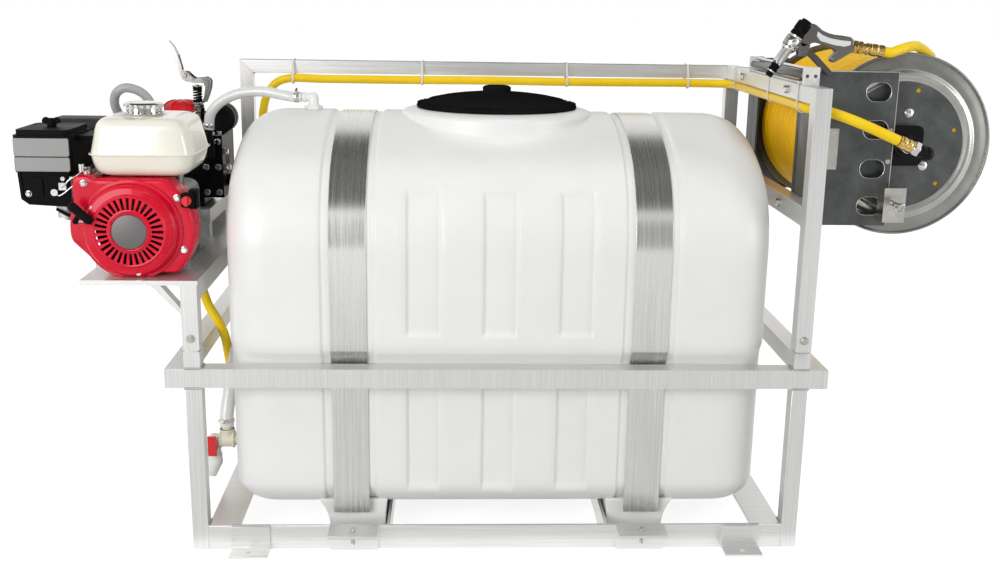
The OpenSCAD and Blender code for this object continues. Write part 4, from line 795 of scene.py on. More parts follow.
piece("weld_beads", join(*[bead(a, b) for a, b in bead_ends]), "frame", CAST, smooth=60)
print("weld beads:", len(bead_ends))

# %% [markdown]
# ## The moulded tank
# The tank is spun from polyethylene powder in a hot mould, so every edge is a generous
# round and every recess has sloping sides. Its skin is one grid: the first parameter
# walks along the tank from end to end, and the second walks round the section. The
# depth of a point below the plain section adds three parts: the rounding of the ends,
# the two strap grooves, and the six flat panels.


# %% Tank section
def smoothstep(x, a, b):
    """0 below a, 1 above b, and the curve 3t^2 - 2t^3 between."""
    t = np.clip((np.asarray(x, float) - a) / (b - a), 0, 1)
    return t * t * (3 - 2 * t)


TANK_L, TANK_Z0, Y_LOW, Y_HIGH = 1066.0, 66.0, 337.0, 353.0
STRAP_X, PANEL_X = (-296.5, 296.5), (-150, 0, 150)
SHOULDER_Y, SHOULDER_Z, SHOULDER_R, SHOULDER_A = 153.0, 604.0, 200.0, math.radians(62)
CROWN_R = (SHOULDER_Y + SHOULDER_R * math.cos(SHOULDER_A)) / math.cos(SHOULDER_A)
CROWN_Z = SHOULDER_Z + (SHOULDER_R - CROWN_R) * math.sin(SHOULDER_A)


def arc_points(cy, cz, r, a0, a1, n):
    """Points and outward normals of an arc, angles in radians."""
    a = np.linspace(a0, a1, n)
    return np.column_stack([cy + r * np.cos(a), cz + r * np.sin(a), np.cos(a), np.sin(a)])


def line_points(p, q, normal, n):
    """Evenly spaced points from p to q with one normal."""
    t = np.linspace(0, 1, n)[:, None]
    return np.column_stack([np.asarray(p) + (np.asarray(q, float) - np.asarray(p)) * t,
                            np.broadcast_to(normal, (n, 2))])


slope = np.array([0.955, -0.297])
half = np.concatenate([
    line_points((0, TANK_Z0), (Y_LOW - 60, TANK_Z0), (0, -1), 8)[:-1],
    arc_points(Y_LOW - 60, TANK_Z0 + 60, 60, -np.pi / 2, 0, 14)[:-1],
    line_points((Y_LOW, 126), (Y_LOW, 316), (1, 0), 8)[:-1],
    line_points((Y_LOW, 316), (Y_LOW, 334), (1, 0), 8)[:-1],
    line_points((Y_LOW, 334), (Y_LOW, 380), (1, 0), 4),
    line_points((Y_LOW + 0.7, 384), (Y_HIGH - 0.7, 404), slope, 5),
    line_points((Y_HIGH, 424), (Y_HIGH, 432), (1, 0), 3)[:-1],
    line_points((Y_HIGH, 432), (Y_HIGH, 450), (1, 0), 8)[:-1],
    line_points((Y_HIGH, 450), (Y_HIGH, 604), (1, 0), 8)[:-1],
    arc_points(SHOULDER_Y, SHOULDER_Z, SHOULDER_R, 0, math.radians(31), 9)[:-1],
    arc_points(SHOULDER_Y, SHOULDER_Z, SHOULDER_R, math.radians(31), math.radians(37), 7)[:-1],
    arc_points(SHOULDER_Y, SHOULDER_Z, SHOULDER_R, math.radians(37), SHOULDER_A, 9)[:-1],
    arc_points(0, CROWN_Z, CROWN_R, SHOULDER_A, np.pi / 2, 14)])
other = half[-2:0:-1] * np.array([-1, 1, -1, 1])
SECTION = np.concatenate([half, other])
arc_angle = np.degrees(np.arctan2(SECTION[:, 1] - SHOULDER_Z, np.abs(SECTION[:, 0]) - SHOULDER_Y))
low_panel = smoothstep(SECTION[:, 1], 104, 126) * (1 - smoothstep(SECTION[:, 1], 320, 331))
high_panel = smoothstep(SECTION[:, 1], 435, 446) * np.where(
    SECTION[:, 1] > SHOULDER_Z, 1 - smoothstep(arc_angle, 31.5, 36.5), 1)
PANEL = low_panel + high_panel
GROOVED = (SECTION[:, 1] > TANK_Z0 + 1).astype(float)
print("tank section:", len(SECTION), "points")


# %% [markdown]
# ## Tank skin
# The stations along the tank lie close together where a groove, a panel or a rounded end
# begins, and farther apart elsewhere. That keeps edges crisp with few faces.

# %% Tank skin
def tank_stations():
    """X, rounding inset, groove depth and panel depth at each ring along the tank."""
    a = np.radians(np.linspace(90, 0, 15))
    end = np.column_stack([TANK_L / 2 - 85 + 85 * np.sin(a), 56 * (1 - np.cos(a))])
    ramp = np.linspace(0, 8, 7)
    places = [(c, 56) for c in STRAP_X] + [(c, 36) for c in PANEL_X]
    edges = [c + s * (h - ramp) for c, h in places for s in (-1, 1)]
    middle = np.unique(np.round(np.concatenate(edges + [np.linspace(-440, 440, 45)]), 3))
    x = np.concatenate([-end[:, 0], middle, end[::-1, 0]])
    inset = np.concatenate([end[:, 1], np.zeros(len(middle)), end[::-1, 1]])
    groove = sum(5 * (1 - smoothstep(np.abs(x - c), 49, 56)) for c in STRAP_X)
    panel = sum(7 * (1 - smoothstep(np.abs(x - c), 29, 36)) for c in PANEL_X)
    return x, inset, groove, panel


def tank_skin():
    """Point = section point minus its normal times (inset + groove + panel * share of panel here)."""
    x, inset, groove, panel = tank_stations()
    depth = inset[:, None] + groove[:, None] * GROOVED + panel[:, None] * PANEL
    y = SECTION[:, 0] - depth * SECTION[:, 2]
    z = SECTION[:, 1] - depth * SECTION[:, 3]
    points = np.stack([np.broadcast_to(x[:, None], y.shape), y, z], -1)
    middle = np.array([0, 450.0])
    small = [np.column_stack([np.full(len(SECTION), p[0, 0]), middle[0] + (p[:, 1] - middle[0]) * 0.86,
                              middle[1] + (p[:, 2] - middle[1]) * 0.86]) for p in (points[0], points[-1])]
    points = np.concatenate([small[0][None], points, small[1][None]])
    rows, columns = points.shape[:2]
    faces = grid_faces(rows, columns, wrap_columns=True)
    faces += [list(range(columns))[::-1], list(range((rows - 1) * columns, rows * columns))]
    return points.reshape(-1, 3), faces


piece("tank_body", tank_skin(), "frame", TANK_WHITE, smooth=60, stands_for=["tank_shell"])

# %% [markdown]
# ## Feet and filler neck
# Four feet are moulded with the tank. They hold it off the floor and spread where they
# meet the underside. The neck is a plain ring, but the crown under it is curved, so the
# fillet at its root rises and falls: for every angle it starts from the height of the
# crown at that point.


# %% Tank feet and neck
def foot_outline():
    """A foot seen from the front: straight inside, and flaring outside with the square of the height."""
    z = np.linspace(0, 1, 10)
    outside = np.column_stack([343 + 22 * z**2.2, 6.65 + 12 + z * 62])
    inside = np.column_stack([228 - 4 * z**3, 6.65 + 12 + z * 62])[::-1]
    a = np.radians(np.linspace(270, 360, 6))
    low_out = np.column_stack([343 - 12 + 12 * np.cos(a), 18.65 + 12 * np.sin(a)])
    low_in = np.column_stack([228 + 12 - 12 * np.cos(a[::-1]), 18.65 + 12 * np.sin(a[::-1])])
    return np.concatenate([low_out, outside[1:], inside[:-1], low_in])


outline = foot_outline()
piece("moulded_feet", join(push(outline, -321, 321, "y"), push(outline * (-1, 1), -321, 321, "y")),
      "frame", TANK_WHITE, smooth=50, bevel=9, segments=5, stands_for=["tank_feet"])

lip = np.radians(np.linspace(10, 80, 8))
neck_profile = np.concatenate([[(205, 800), (205, 836)],
                               np.column_stack([194 + 11 * np.cos(lip), 836 + 11 * np.sin(lip)]),
                               [(184, 850), (174, 851.6), (168, 851.6), (165.5, 849.5), (165.3, 800)]])
piece("neck_ring", lathe(neck_profile, (0, 0, 0), steps=128), "frame", TANK_WHITE, smooth=50,
      stands_for=["tank_neck"])


def crown_height(y):
    """Height of the crown over the floor at a distance y from the middle plane."""
    return CROWN_Z + np.sqrt(CROWN_R**2 - y**2)


def neck_fillet(steps=128, rows=8, largest=14.0):
    """A strip round the neck: radius 205 + f(1 - sin s), height = crown there + f(1 - cos s)."""
    t = np.linspace(0, 2 * np.pi, steps, endpoint=False)
    s = np.linspace(0, np.pi / 2, rows)[:, None]
    f = np.clip((838 - crown_height(205 * np.sin(t))) * 0.45, 0.05, largest)
    r = 204.9 + f * (1 - np.sin(s))
    z = crown_height(r * np.sin(t)) - 0.1 + f * (1 - np.cos(s))
    points = np.stack([r * np.cos(t), r * np.sin(t), z], -1)
    return points.reshape(-1, 3), grid_faces(rows, steps, wrap_columns=True)


piece("neck_fillet", neck_fillet(), "frame", TANK_WHITE, smooth=70, outward=False)
print("tank pieces done")

# %% [markdown]
# ## Lid
# The lid is a black moulding: a rim that overlaps the neck, a shallow dome and a vent
# knob in the middle. Spinning one profile gives all of it. Short ribs round the rim help
# a wet glove to turn it.


# %% Lid
z = 852.3
rim = np.radians(np.linspace(-60, 90, 7))
lid_profile = np.concatenate([
    [(160, z - 24), (163.5, z - 24), (163.8, z), (171, z)],
    np.column_stack([169.5 + 3 * np.cos(rim), z + 3.5 + 3 * np.sin(rim)]),
    [(169.5, z + 8), (163, z + 9.4), (156, z + 10.6), (152, z + 12.2), (148, z + 15.6), (143, z + 17.6),
     (136, z + 19), (115, z + 23.4), (90, z + 27), (65, z + 29.6), (42, z + 31),
     (32, z + 31.6), (30.4, z + 33),
     (30, z + 38), (29.4, z + 42), (27, z + 44.6), (22, z + 45.7), (10, z + 45.9), (0, z + 46)]])
rim_rib = slab((163, -1.6, z + 8.2), (171.2, 1.6, z + 10.2))
ribs = [moved(rim_rib, turn=about("z", k * 7.5)) for k in range(48)]
knob_rib = slab((28.6, -1.5, z + 33), (30.6, 1.5, z + 42))
lid = lathe(lid_profile[:-1], (0, 0, 0), steps=128)
top = disc_lathe([(0, z + 45.4), (21, z + 45.2), (22, z + 45.7), (10, z + 45.9), (0, z + 46)],
                 (0, 0, 0), steps=64)
grip_ribs = [moved(knob_rib, turn=about("z", k * 22.5 + 11)) for k in range(16)]
piece("lid", join(lid, top, *ribs, *grip_ribs), BODY_OF["tank_lid"], LID_BLACK, smooth=40,
      stands_for=["tank_lid"])
print("lid done")

# %% [markdown]
# ## Straps and hook bolts
# Two flat bars hold the tank down. Each lies in its groove, follows the section of the
# tank at a steady distance and ends just above the clip, where a hooked bolt draws it
# tight. The bolt is threaded: its thread is a helix of small ridges on a plain rod.


# %% Straps
def strap_line(d):
    """Half of the strap's path in Y and Z, a distance d outside the bottom of the groove."""
    a = np.linspace(0, SHOULDER_A, 28)
    b = np.linspace(SHOULDER_A + 0.05, np.pi / 2, 18)
    y0, y1, r, c = Y_LOW - 5 + d, Y_HIGH - 5 + d, SHOULDER_R - 5 + d, CROWN_R - 5 + d
    straight = [(y0, z) for z in np.linspace(58, 374, 10)]
    step = [(y0 + (y1 - y0) * float(smoothstep(z, 376, 410)), z) for z in np.linspace(378, 408, 9)]
    rise = [(y1, z) for z in np.linspace(420, 590, 8)]
    return np.concatenate([straight, step, rise,
                           np.column_stack([SHOULDER_Y + r * np.cos(a), SHOULDER_Z + r * np.sin(a)]),
                           np.column_stack([c * np.cos(b), CROWN_Z + c * np.sin(b)])])


outer, inner = strap_line(3.6), strap_line(0.7)
whole = lambda p: np.concatenate([p, p[-2::-1] * (-1, 1)])
strap_outline = np.concatenate([whole(outer), whole(inner)[::-1]])
STRAP = finish("strap_aluminium", (0.73, 0.725, 0.70), 0.26, 1.0, 0.10, streaks=(320, 4, 4),
               streak_height=0.05, dust=0.1)
piece("straps", join(*[push(strap_outline, c - 36, c + 36, "x") for c in STRAP_X]),
      "frame", STRAP, smooth=30, bevel=0.7, stands_for=["tank_straps"])


# %% [markdown]
# ## Hook bolts
# Each hook is bent from round rod, so it is a tube along a path with one quarter turn.
# The radius of its threaded end follows a cosine along the rod.

# %% Hook bolts
def threaded(a, b, radius, pitch=1.25, depth=0.45, per_turn=10):
    """A screw thread: ring k is turned by its share of a turn, and each ridge is a cosine along the rod."""
    a, b = np.asarray(a, float), np.asarray(b, float)
    length = np.linalg.norm(b - a)
    rows = int(length / pitch * 4)
    s = np.linspace(0, length, rows)
    u, v, w = frame_of((b - a) / length)
    t = np.linspace(0, 2 * np.pi, per_turn, endpoint=False)
    r = radius - depth * (0.5 - 0.5 * np.cos(2 * np.pi * s[:, None] / pitch - t))
    points = a + s[:, None, None] * w + r[..., None] * (np.cos(t)[:, None] * u + np.sin(t)[:, None] * v)
    faces = grid_faces(rows, per_turn, wrap_columns=True)
    faces += [list(range(per_turn))[::-1], list(range((rows - 1) * per_turn, rows * per_turn))]
    return points.reshape(-1, 3), faces


hooks = []
for sx in (-1, 1):
    for sy in (-1, 1):
        x, y = 288.5 * sx, 406.4
        a = np.radians(np.linspace(0, 90, 8))
        bend = np.column_stack([np.full(8, x), y - 10 + 10 * np.cos(a), 70 + 10 * np.sin(a)])
        path = np.concatenate([[(x, y, 56)], bend, [(x, 328, 80)]])
        parts = [threaded((x, y, 22.5), (x, y, 57), 4.0), carry(path, 4.0, 14),
                 bolt_head((x, y, 44.2), (0, 0, -1), 13, 6.2)]
        hooks += [(p * (1, sy, 1), f) for p, f in parts]
piece("hook_bolts", join(*hooks), "frame", ZINC, smooth=45, stands_for=["strap_bolts"])
print("straps and hooks done")

# %% [markdown]
# ## Engine cowls
# Everything on the engine is measured from the front end of its crankshaft. The fan
# cover is pressed steel: a scroll that is round on the right and has a shoulder on the
# left. For each angle its edge is the farther of a circle and a polygon, cut flat at
# the top and bottom and slanted at the lower left. Rows of the grid then step that edge
# inwards as the sheet turns over.


# %% Fan cover
ENGINE_AT = (-700.6, -HD, 645.0)


def engine(part):
    """Moves a part from the engine's own measures to its place in the frame."""
    return moved(part, ENGINE_AT)


def ray_to_polygon(t, corners):
    """Distance from the origin to a polygon along each angle t, by crossing every edge."""
    d = np.stack([np.cos(t), np.sin(t)], -1)
    best = np.zeros(len(t))
    for p, q in zip(corners, np.roll(corners, -1, 0)):
        e = q - p
        det = d[:, 0] * -e[1] + d[:, 1] * e[0]
        safe = np.where(np.abs(det) < 1e-9, 1e-9, det)
        r = (p[0] * -e[1] + p[1] * e[0]) / safe
        s = (d[:, 0] * p[1] - d[:, 1] * p[0]) / safe
        best = np.where((r > 0) & (s >= -1e-9) & (s <= 1 + 1e-9), np.maximum(best, r), best)
    return best


def scroll_edge(steps=240, soften=5):
    """Radius of the fan cover at each angle: max(circle, polygon), cut on three sides, then averaged."""
    t = np.linspace(0, 2 * np.pi, steps, endpoint=False)
    corners = np.array([(-107, 6), (-46, -76), (0, -76), (60, 0), (60, 103), (-99, 103), (-107, 95)], float)
    r = np.maximum(117.0, ray_to_polygon(t, corners))
    c, s = np.cos(t), np.sin(t)
    top = np.where(r * c > -73, 96.5, 103.0)
    for share, reach in ((s, top), (-s, 84), (-(c + s) / math.sqrt(2), 97)):
        r = np.where(share > 1e-6, np.minimum(r, reach / np.maximum(share, 1e-6)), r)
    kernel = np.ones(soften) / soften
    wrapped = np.concatenate([r[-soften:], r, r[:soften]])
    return t, np.minimum(np.convolve(wrapped, kernel, "same")[soften:-soften], r)


def fan_cover():
    """Rows step from the back edge, over a rounded rim, to the round opening in the front face."""
    t, r = scroll_edge()
    a = np.radians(np.linspace(0, 90, 7))
    rows = [(88.0, 0.0, 0.0), (70.0, 0.0, 0.0)]
    rows += [(32 + 7 * (1 - math.sin(k)), 7 * (1 - math.cos(k)), 0.0) for k in a]
    rows += [(32.0, 9.0, 0.3), (32.0, 0.0, 1.0), (34.5, 0.0, 1.0), (36.0, 9.5, 0.3)]
    rows += [(37.0, 8.0, 0.0), (39.0, 2.6, 0.0), (88.0, 2.5, 0.0)]
    y, inset, share = (np.array(v)[:, None] for v in zip(*rows))
    radius = (r - inset) * (1 - share) + np.minimum(84.0, r - 8) * share
    points = np.stack([radius * np.cos(t), np.broadcast_to(y, radius.shape), radius * np.sin(t)], -1)
    return points.reshape(-1, 3), grid_faces(len(rows), len(t), wrap_rows=True, wrap_columns=True)


switch_box = join(push(rounded((95, 44), (119, 72), 5), 25.5, 39.5, "y"),
                  slab((108, 36, 40), (123.5, 60, 76)))
piece("fan_cover_sheet", engine(fan_cover()), "frame", ENGINE_RED, smooth=35, stands_for=["fan_cover"])
piece("switch_box", engine(switch_box), "frame", MOULDED_BLACK, bevel=1.2)
edge_bolts = [bolt_head((x, y, z), (0, -1, 0), 10, 5) for x, y, z in
              ((-84, 31.5, 88), (88, 31.5, 62), (96, 31.5, -38), (-52, 31.5, -66))]
piece("cowl_bolts", engine(join(*edge_bolts)), "frame", CHROME, smooth=40)

# %% [markdown]
# ## Recoil starter
# Pulling the cord turns a spring pulley behind this cover. Air for the engine comes in
# through a ring of slots: between every two slots stands one rib, and all the ribs are
# one shape repeated round the middle. Outside the slots the sheet is stepped, and three
# raised ridges stiffen the side away from the grip.


# %% Starter cover
RIBS = 32
outer_ring = [(64, 13.6), (64, 10.4), (65.5, 9.6), (68, 9.9), (70, 12.0), (72, 12.6), (81, 13.2), (84, 14.6),
              (86.6, 17.4), (87.6, 21), (88.6, 26.6), (90.2, 28.6), (95.4, 28.9), (96, 29.6), (96, 31.2),
              (95.4, 31.7), (87, 31.7), (85, 19), (82, 16.6), (69, 15.6), (66, 14.4)]
inner_ring = [(33.4, 12.6), (33.4, 9.8), (34.4, 8.4), (36.2, 8.2), (38, 9.4), (40, 10.6),
              (42, 10.9), (42, 13.5)]
rib_parts = []
for k in range(RIBS):
    u = math.radians((k + 0.5) * 360 / RIBS)
    c, s = math.cos(u), math.sin(u)
    long, wide = np.array([c, s]), np.array([-s, c])
    points = []
    for y, near, far in ((13.5, 1.9, 3.9), (11.6, 1.9, 3.9), (10.5, 1.1, 3.0)):
        corners = [long * r + wide * w for r, w in ((41.5, -near), (64.5, -far), (64.5, far), (41.5, near))]
        points += [(p[0], y, p[1]) for p in corners]
    faces = [[0, 1, 2, 3], [11, 10, 9, 8]]
    for level in (0, 4):
        faces += [[level + i, level + 4 + i, level + 4 + (i + 1) % 4, level + (i + 1) % 4] for i in range(4)]
    rib_parts.append((np.array(points), faces))


def arc_ridge(radius, a0, a1, width, y0, height, steps=40):
    """A ridge along an arc: its section is a half wave, and it sinks into the sheet at both ends."""
    a = np.radians(np.linspace(a0, a1, steps))[:, None]
    w = np.linspace(-1, 1, 7)[None, :]
    share = np.linspace(0, 1, steps)
    fade = smoothstep(share, 0, 0.08) * (1 - smoothstep(share, 0.92, 1))
    r = radius + w * width / 2 + 0 * a
    y = y0 + 0.4 - height * np.cos(w * np.pi / 2) * fade[:, None]
    points = np.stack([r * np.cos(a), y, r * np.sin(a)], -1)
    return points.reshape(-1, 3), grid_faces(steps, 7)


ridges = [arc_ridge(r, a, b, 3.4, 13.0 if r < 84 else 15.0, 2.2) for r, a, b in
          ((72.5, -62, 78), (77.5, -60, 76), (82.0, -52, 66))]
spots = [(-66, 44), (66, 44), (12, -80)]
lobes = [disc_lathe([(0, 20.5), (7.6, 20.5), (9.4, 21.6), (10.4, 24), (11, 31.5), (0, 31.5)],
                    (x, 0, z), (0, 1, 0), 24) for x, z in spots]
flange = lathe(outer_ring, (0, 0, 0), (0, 1, 0), 128)
flange[0][:, 2] = np.maximum(flange[0][:, 2], -89)
cover_parts = join(flange, lathe(inner_ring, (0, 0, 0), (0, 1, 0), 96), *rib_parts, *lobes)
grip_guide = push(rounded((-89, 12), (-70, 28), 5), 10, 24, "y")
piece("starter_sheet", engine(join(cover_parts, grip_guide)), "frame", ENGINE_RED, smooth=35,
      stands_for=["starter_cover"])
piece("starter_ridges", engine(join(*ridges)), "frame", ENGINE_RED, smooth=70, outward=False)
badge = disc_lathe([(0, 8.0), (30.5, 8.0), (32, 8.4), (33.2, 9.6), (33.2, 12.4), (0, 12.4)],
                   (0, 0, 0), (0, 1, 0), 96)
BADGE_GREY = finish("badge_grey", (0.15, 0.14, 0.14), 0.35, 0.2, grain=0.05, dust=0.02)
piece("starter_disc", engine(badge), "frame", BADGE_GREY, smooth=30)
piece("starter_bolts", engine(join(*[bolt_head((x, 20.4, z), (0, -1, 0), 10, 5.5) for x, z in spots])),
      "frame", CHROME, smooth=40)
print("starter ribs:", len(rib_parts))


# %% [markdown]
# ## Pull grip
# The hand closes round a bar with a slight waist. One profile spun about the slanted line
# of the bar gives it, and a thin tube stands for the cord.

# %% Grip
def grip_bar():
    """A bar with a waist: at the share h of its length the radius is 9 - 0.9*(1 - (2h - 1)^2)."""
    h = np.linspace(0, 1, 15)
    r = 9 - 0.9 * (1 - (2 * h - 1) ** 2)
    end = np.radians(np.linspace(0, 80, 6))
    low = [(9 * math.sin(k), -18 - 9 * math.cos(k)) for k in end]
    high = [(9 * math.sin(k), 18 + 9 * math.cos(k)) for k in end[::-1]]
    return [(0, -27)] + low[1:] + list(zip(r[1:-1], 36 * h[1:-1] - 18)) + high[:-1] + [(0, 27)]


slant = (-math.sin(math.radians(48)), 0, math.cos(math.radians(48)))
grip = join(disc_lathe(grip_bar(), (-84.7, 0, 36.8), slant, 32),
            disc_lathe([(0, -6), (3.4, -5), (5.4, -2.6), (6, 0), (5, 3.4), (4.6, 10), (5, 18), (0, 18)],
                       (-97, 8.6, 20), (0.4755, -0.3455, 0.809), 24))
piece("pull_grip", engine(grip), BODY_OF["starter_grip"], MOULDED_BLACK, smooth=50,
      stands_for=["starter_grip"])
piece("pull_cord", engine(carry(through([(-97, 9, 20), (-88, 9, 20), (-74.5, 9, 20)], 5), 2.0, 10)),
      BODY_OF["starter_grip"], GUIDE_WHITE, smooth=60)

# %% [markdown]
# ## Fuel tank
# The tank is blown plastic in two halves, welded along a seam that stands out as a thin
# lip. A form between a box and an egg describes it: the sum of the seventh powers of the
# three distances from the middle, each over its half length, equals one. The top dips
# where the fuel runs back towards the filler.


# %% Fuel tank skin
def soft_box(low, high, power, steps, dip):
    """Superellipsoid: a point is direction * (sum |direction / half|^n)^(-1/n), from a grid of two angles."""
    low, high = np.asarray(low, float), np.asarray(high, float)
    half, middle = (high - low) / 2, (high + low) / 2
    u = np.linspace(0, 2 * np.pi, steps[0], endpoint=False)
    v = np.linspace(-np.pi / 2, np.pi / 2, steps[1] + 2)[1:-1]
    bend = lambda a: np.sign(a) * np.abs(a) ** 0.75
    d = np.stack([bend(np.cos(v))[:, None] * np.cos(u), bend(np.cos(v))[:, None] * np.sin(u),
                  bend(np.sin(v))[:, None] + 0 * u], -1) * half
    scale = (np.abs(d / half) ** power).sum(-1) ** (-1 / power)
    points = (middle + d * scale[..., None]).reshape(-1, 3)
    points = np.concatenate([points, [middle - (0, 0, half[2])], [middle + (0, 0, half[2])]])
    points = dip(points)
    n, (columns, rows) = len(points), steps
    faces = grid_faces(rows, columns, wrap_columns=True)
    faces += [[n - 2, (k + 1) % columns, k] for k in range(columns)]
    last = (rows - 1) * columns
    faces += [[n - 1, last + k, last + (k + 1) % columns] for k in range(columns)]
    return points, faces


def fuel_dip(p):
    """Sinks the top by 5 mm round the filler, and narrows the tank evenly away from its seam."""
    far = np.hypot((p[:, 0] - 10) / 62, (p[:, 1] - 104) / 60)
    top = smoothstep(p[:, 2], 195, 206)
    q = p.copy()
    q[:, 2] -= 5.0 * (1 - smoothstep(far, 0.78, 1.0)) * top
    narrow = np.where(p[:, 2] > 140.5, 0.15 * (p[:, 2] - 140.5) / 69.5, 0.10 * (140.5 - p[:, 2]) / 43.5)
    q[:, 0] = 19.5 + (q[:, 0] - 19.5) * (1 - narrow)
    q[:, 1] = 133 + (q[:, 1] - 133) * (1 - 0.6 * narrow)
    return q


fuel_body = soft_box((-78, 36, 97), (117, 230, 210), 7.0, (128, 80), fuel_dip)


def seam_lip():
    """The welded seam: the tank's outline at mid height, pushed out 4 mm, with a rounded edge."""
    t = np.linspace(0, 2 * np.pi, 160, endpoint=False)
    d = np.stack([np.cos(t), np.sin(t)], -1)
    d = np.sign(d) * np.abs(d) ** 0.6 * (97.5, 97)
    edge = d * ((np.abs(d / (97.5, 97)) ** 7).sum(-1) ** (-1 / 7))[:, None]
    out = d / np.linalg.norm(d, axis=1)[:, None]
    rows = [(-6, 139.2), (3.2, 139.2), (4.0, 139.8), (4.0, 141.2), (3.2, 141.8), (-6, 141.8)]
    points = np.stack([np.column_stack([edge + out * w + (19.5, 133), np.full(len(t), h)]) for w, h in rows])
    return points.reshape(-1, 3), grid_faces(len(rows), len(t), wrap_rows=True, wrap_columns=True)


neck = lathe([(32, 203), (31, 207.5), (28.6, 209), (27.4, 212.6), (26, 213.8), (24.5, 213.8), (24, 206)],
             (12, 122, 0), steps=64)
stays = [disc_lathe([(0, 66), (9, 66), (9, 99), (0, 99)], (x, 180, 0), steps=24) for x in (-20, 60)]
piece("fuel_tank_skin", engine(join(fuel_body, seam_lip(), neck)), "frame", FUEL_CREAM, smooth=60,
      stands_for=["fuel_tank"])
piece("fuel_tank_stays", engine(join(*stays)), "frame", CAST)


# %% [markdown]
# ## Fuel cap
# The cap is plated steel with flutes for the fingers. One grid of rings makes it: the
# radius of the middle rings dips once for every flute.

# %% Fuel cap
def fluted_cap(grips=20):
    """Radius = outer - depth of flute, a flute being the part of a cosine above a tenth."""
    t = np.linspace(0, 2 * np.pi, grips * 8, endpoint=False)
    wave = np.clip((np.cos(grips * t) - 0.1) / 0.9, 0, 1)
    rows = [(36.6, 0.0, 0), (37.8, 0.6, 0), (38.0, 2.4, 0), (37.6, 3.6, 0.4), (37.4, 5, 1),
            (37.4, 15, 1), (37.6, 17, 0.4),
            (37.6, 18.6, 0.0), (36.6, 19.8, 0), (34.6, 20.4, 0), (33.4, 21.4, 0), (31, 21.9, 0),
            (20, 22.0, 0), (6, 22.0, 0)]
    r = np.array([q[0] - 3.4 * q[2] * wave for q in rows])
    h = np.array([q[1] for q in rows])[:, None] + 0 * t
    points = np.stack([r * np.cos(t), r * np.sin(t), h], -1).reshape(-1, 3)
    faces = grid_faces(len(rows), len(t), wrap_columns=True)
    n = len(points)
    points = np.concatenate([points, [(0, 0, 22.0)]])
    last = n - len(t)
    faces += [[n, last + k, last + (k + 1) % len(t)] for k in range(len(t))]
    under = [list(range(len(t)))[::-1]]
    return points, faces + under


piece("filler_cap", engine(moved(fluted_cap(), (12, 122, 210.3))), BODY_OF["fuel_cap"], CHROME,
      smooth=35, stands_for=["fuel_cap"])
print("fuel tank done")

# %% [markdown]
# ## Air cleaner, carburettor and cylinder
# The air cleaner is a ribbed black box whose lid is held by one wing nut. A duct leads
# from it to the carburettor, and from there into the head. The cylinder carries thin
# cooling fins. These are castings and mouldings with sharp plan shapes, so their packed
# solids keep their form and only gain soft edges. Clips, bolts and rods are added.

# %% Engine castings
softened("crankcase", CAST, 1.4, smooth=40)
softened("cylinder_head", CAST, 0.8, smooth=40)
softened("air_cleaner_base", MOULDED_BLACK, 1.6)
softened("air_cleaner_cover", MOULDED_BLACK, 2.4)
softened("carburettor", CAST, 0.8)
softened("muffler", MUFFLER_BLACK, 0.8)
softened("engine_switch", HANDLE_RED, 0.8, BODY_OF["engine_switch"])
softened("throttle_lever", ZINC, 0.5, BODY_OF["throttle_lever"])


# %% [markdown]
# ## Details of the air cleaner
# The wing nut is a spun boss with two flat ears. Brackets, screws and rods fill the space
# in front of the carburettor, where hands adjust the engine.

# %% Air cleaner details
def wing(side):
    """One wing of the nut: a flat ear whose outline is a half oval that leans outwards."""
    t = np.linspace(-0.25, np.pi * 1.05, 16)
    outline = np.column_stack([side * (10.5 + 8.2 * np.cos(t) * 0.9), 9 + 8.6 * np.sin(t)])
    outline = np.concatenate([outline, [(side * 3, 5), (side * 6, 3)]])
    return push(outline, -2.6, 2.6, "y")


nut = join(disc_lathe([(0, 0), (8.6, 0), (9, 0.8), (8.6, 4), (7.4, 10), (6.4, 14), (5.4, 15.6), (0, 15.6)],
                      (0, 0, 0), (0, 0, 1), 32), wing(1), wing(-1))
piece("cleaner_wing_nut", engine(moved(nut, (-167, 130, 183.3))), BODY_OF["wing_nut"], MOULDED_BLACK,
      bevel=0.6, stands_for=["wing_nut"])
# The two grey patches on the front of the black cleaner cover are painted sheen: they stand in for light
# reflected off the black plastic.
CLEANER_PAINTED_SHEEN = finish("cleaner_face_painted_sheen", (0.30, 0.30, 0.295), 0.5, grain=0.15, grain_scale=600,
                      drift=0.08, dust=0.3)
panel_ends = (((-219, 105), (-116, 132)), ((-219, 133.4), (-116, 168)))
panels = [push(rounded(low, high, 4), 59.7, 63, "y") for low, high in panel_ends]
piece("cleaner_painted_sheen_patches", engine(join(*panels)), "frame", CLEANER_PAINTED_SHEEN, bevel=0.8)
carb_bits = join(
    bolt_head((-198, 64, 62), (0, -1, 0), 9, 5), bolt_head((-131, 64, 92), (0, -1, 0), 9, 5),
    slab((-140, 60, 70), (-126, 64, 84)),
    wire([(-134, 60, 76), (-126, 55, 82), (-116, 54, 92), (-104, 56, 98), (-92, 60, 108)], 1.8),
    wire([(-150, 62, 66), (-140, 57, 60), (-128, 56, 66), (-116, 58, 76), (-106, 60, 82)], 1.5),
    disc_lathe([(0, 0), (7, 0), (7.6, 1), (7.6, 6), (6.6, 8), (0, 8)], (-148, 64, 66), (0, -1, 0), 24),
    slab((-118, 58, 92), (-104, 72, 96)))
piece("carburettor_bits", engine(carb_bits), "frame", CHROME, smooth=45)
rim = push([(-216, 103), (-212.6, 52), (-198.4, 41.4), (-162, 39.4), (-128, 37.4), (-119.4, 47.6),
            (-119.4, 56),
            (-124, 56), (-124, 50), (-130, 43), (-162, 45), (-196, 47), (-207, 56), (-209, 103)], 61.6,
           64.2, "y")
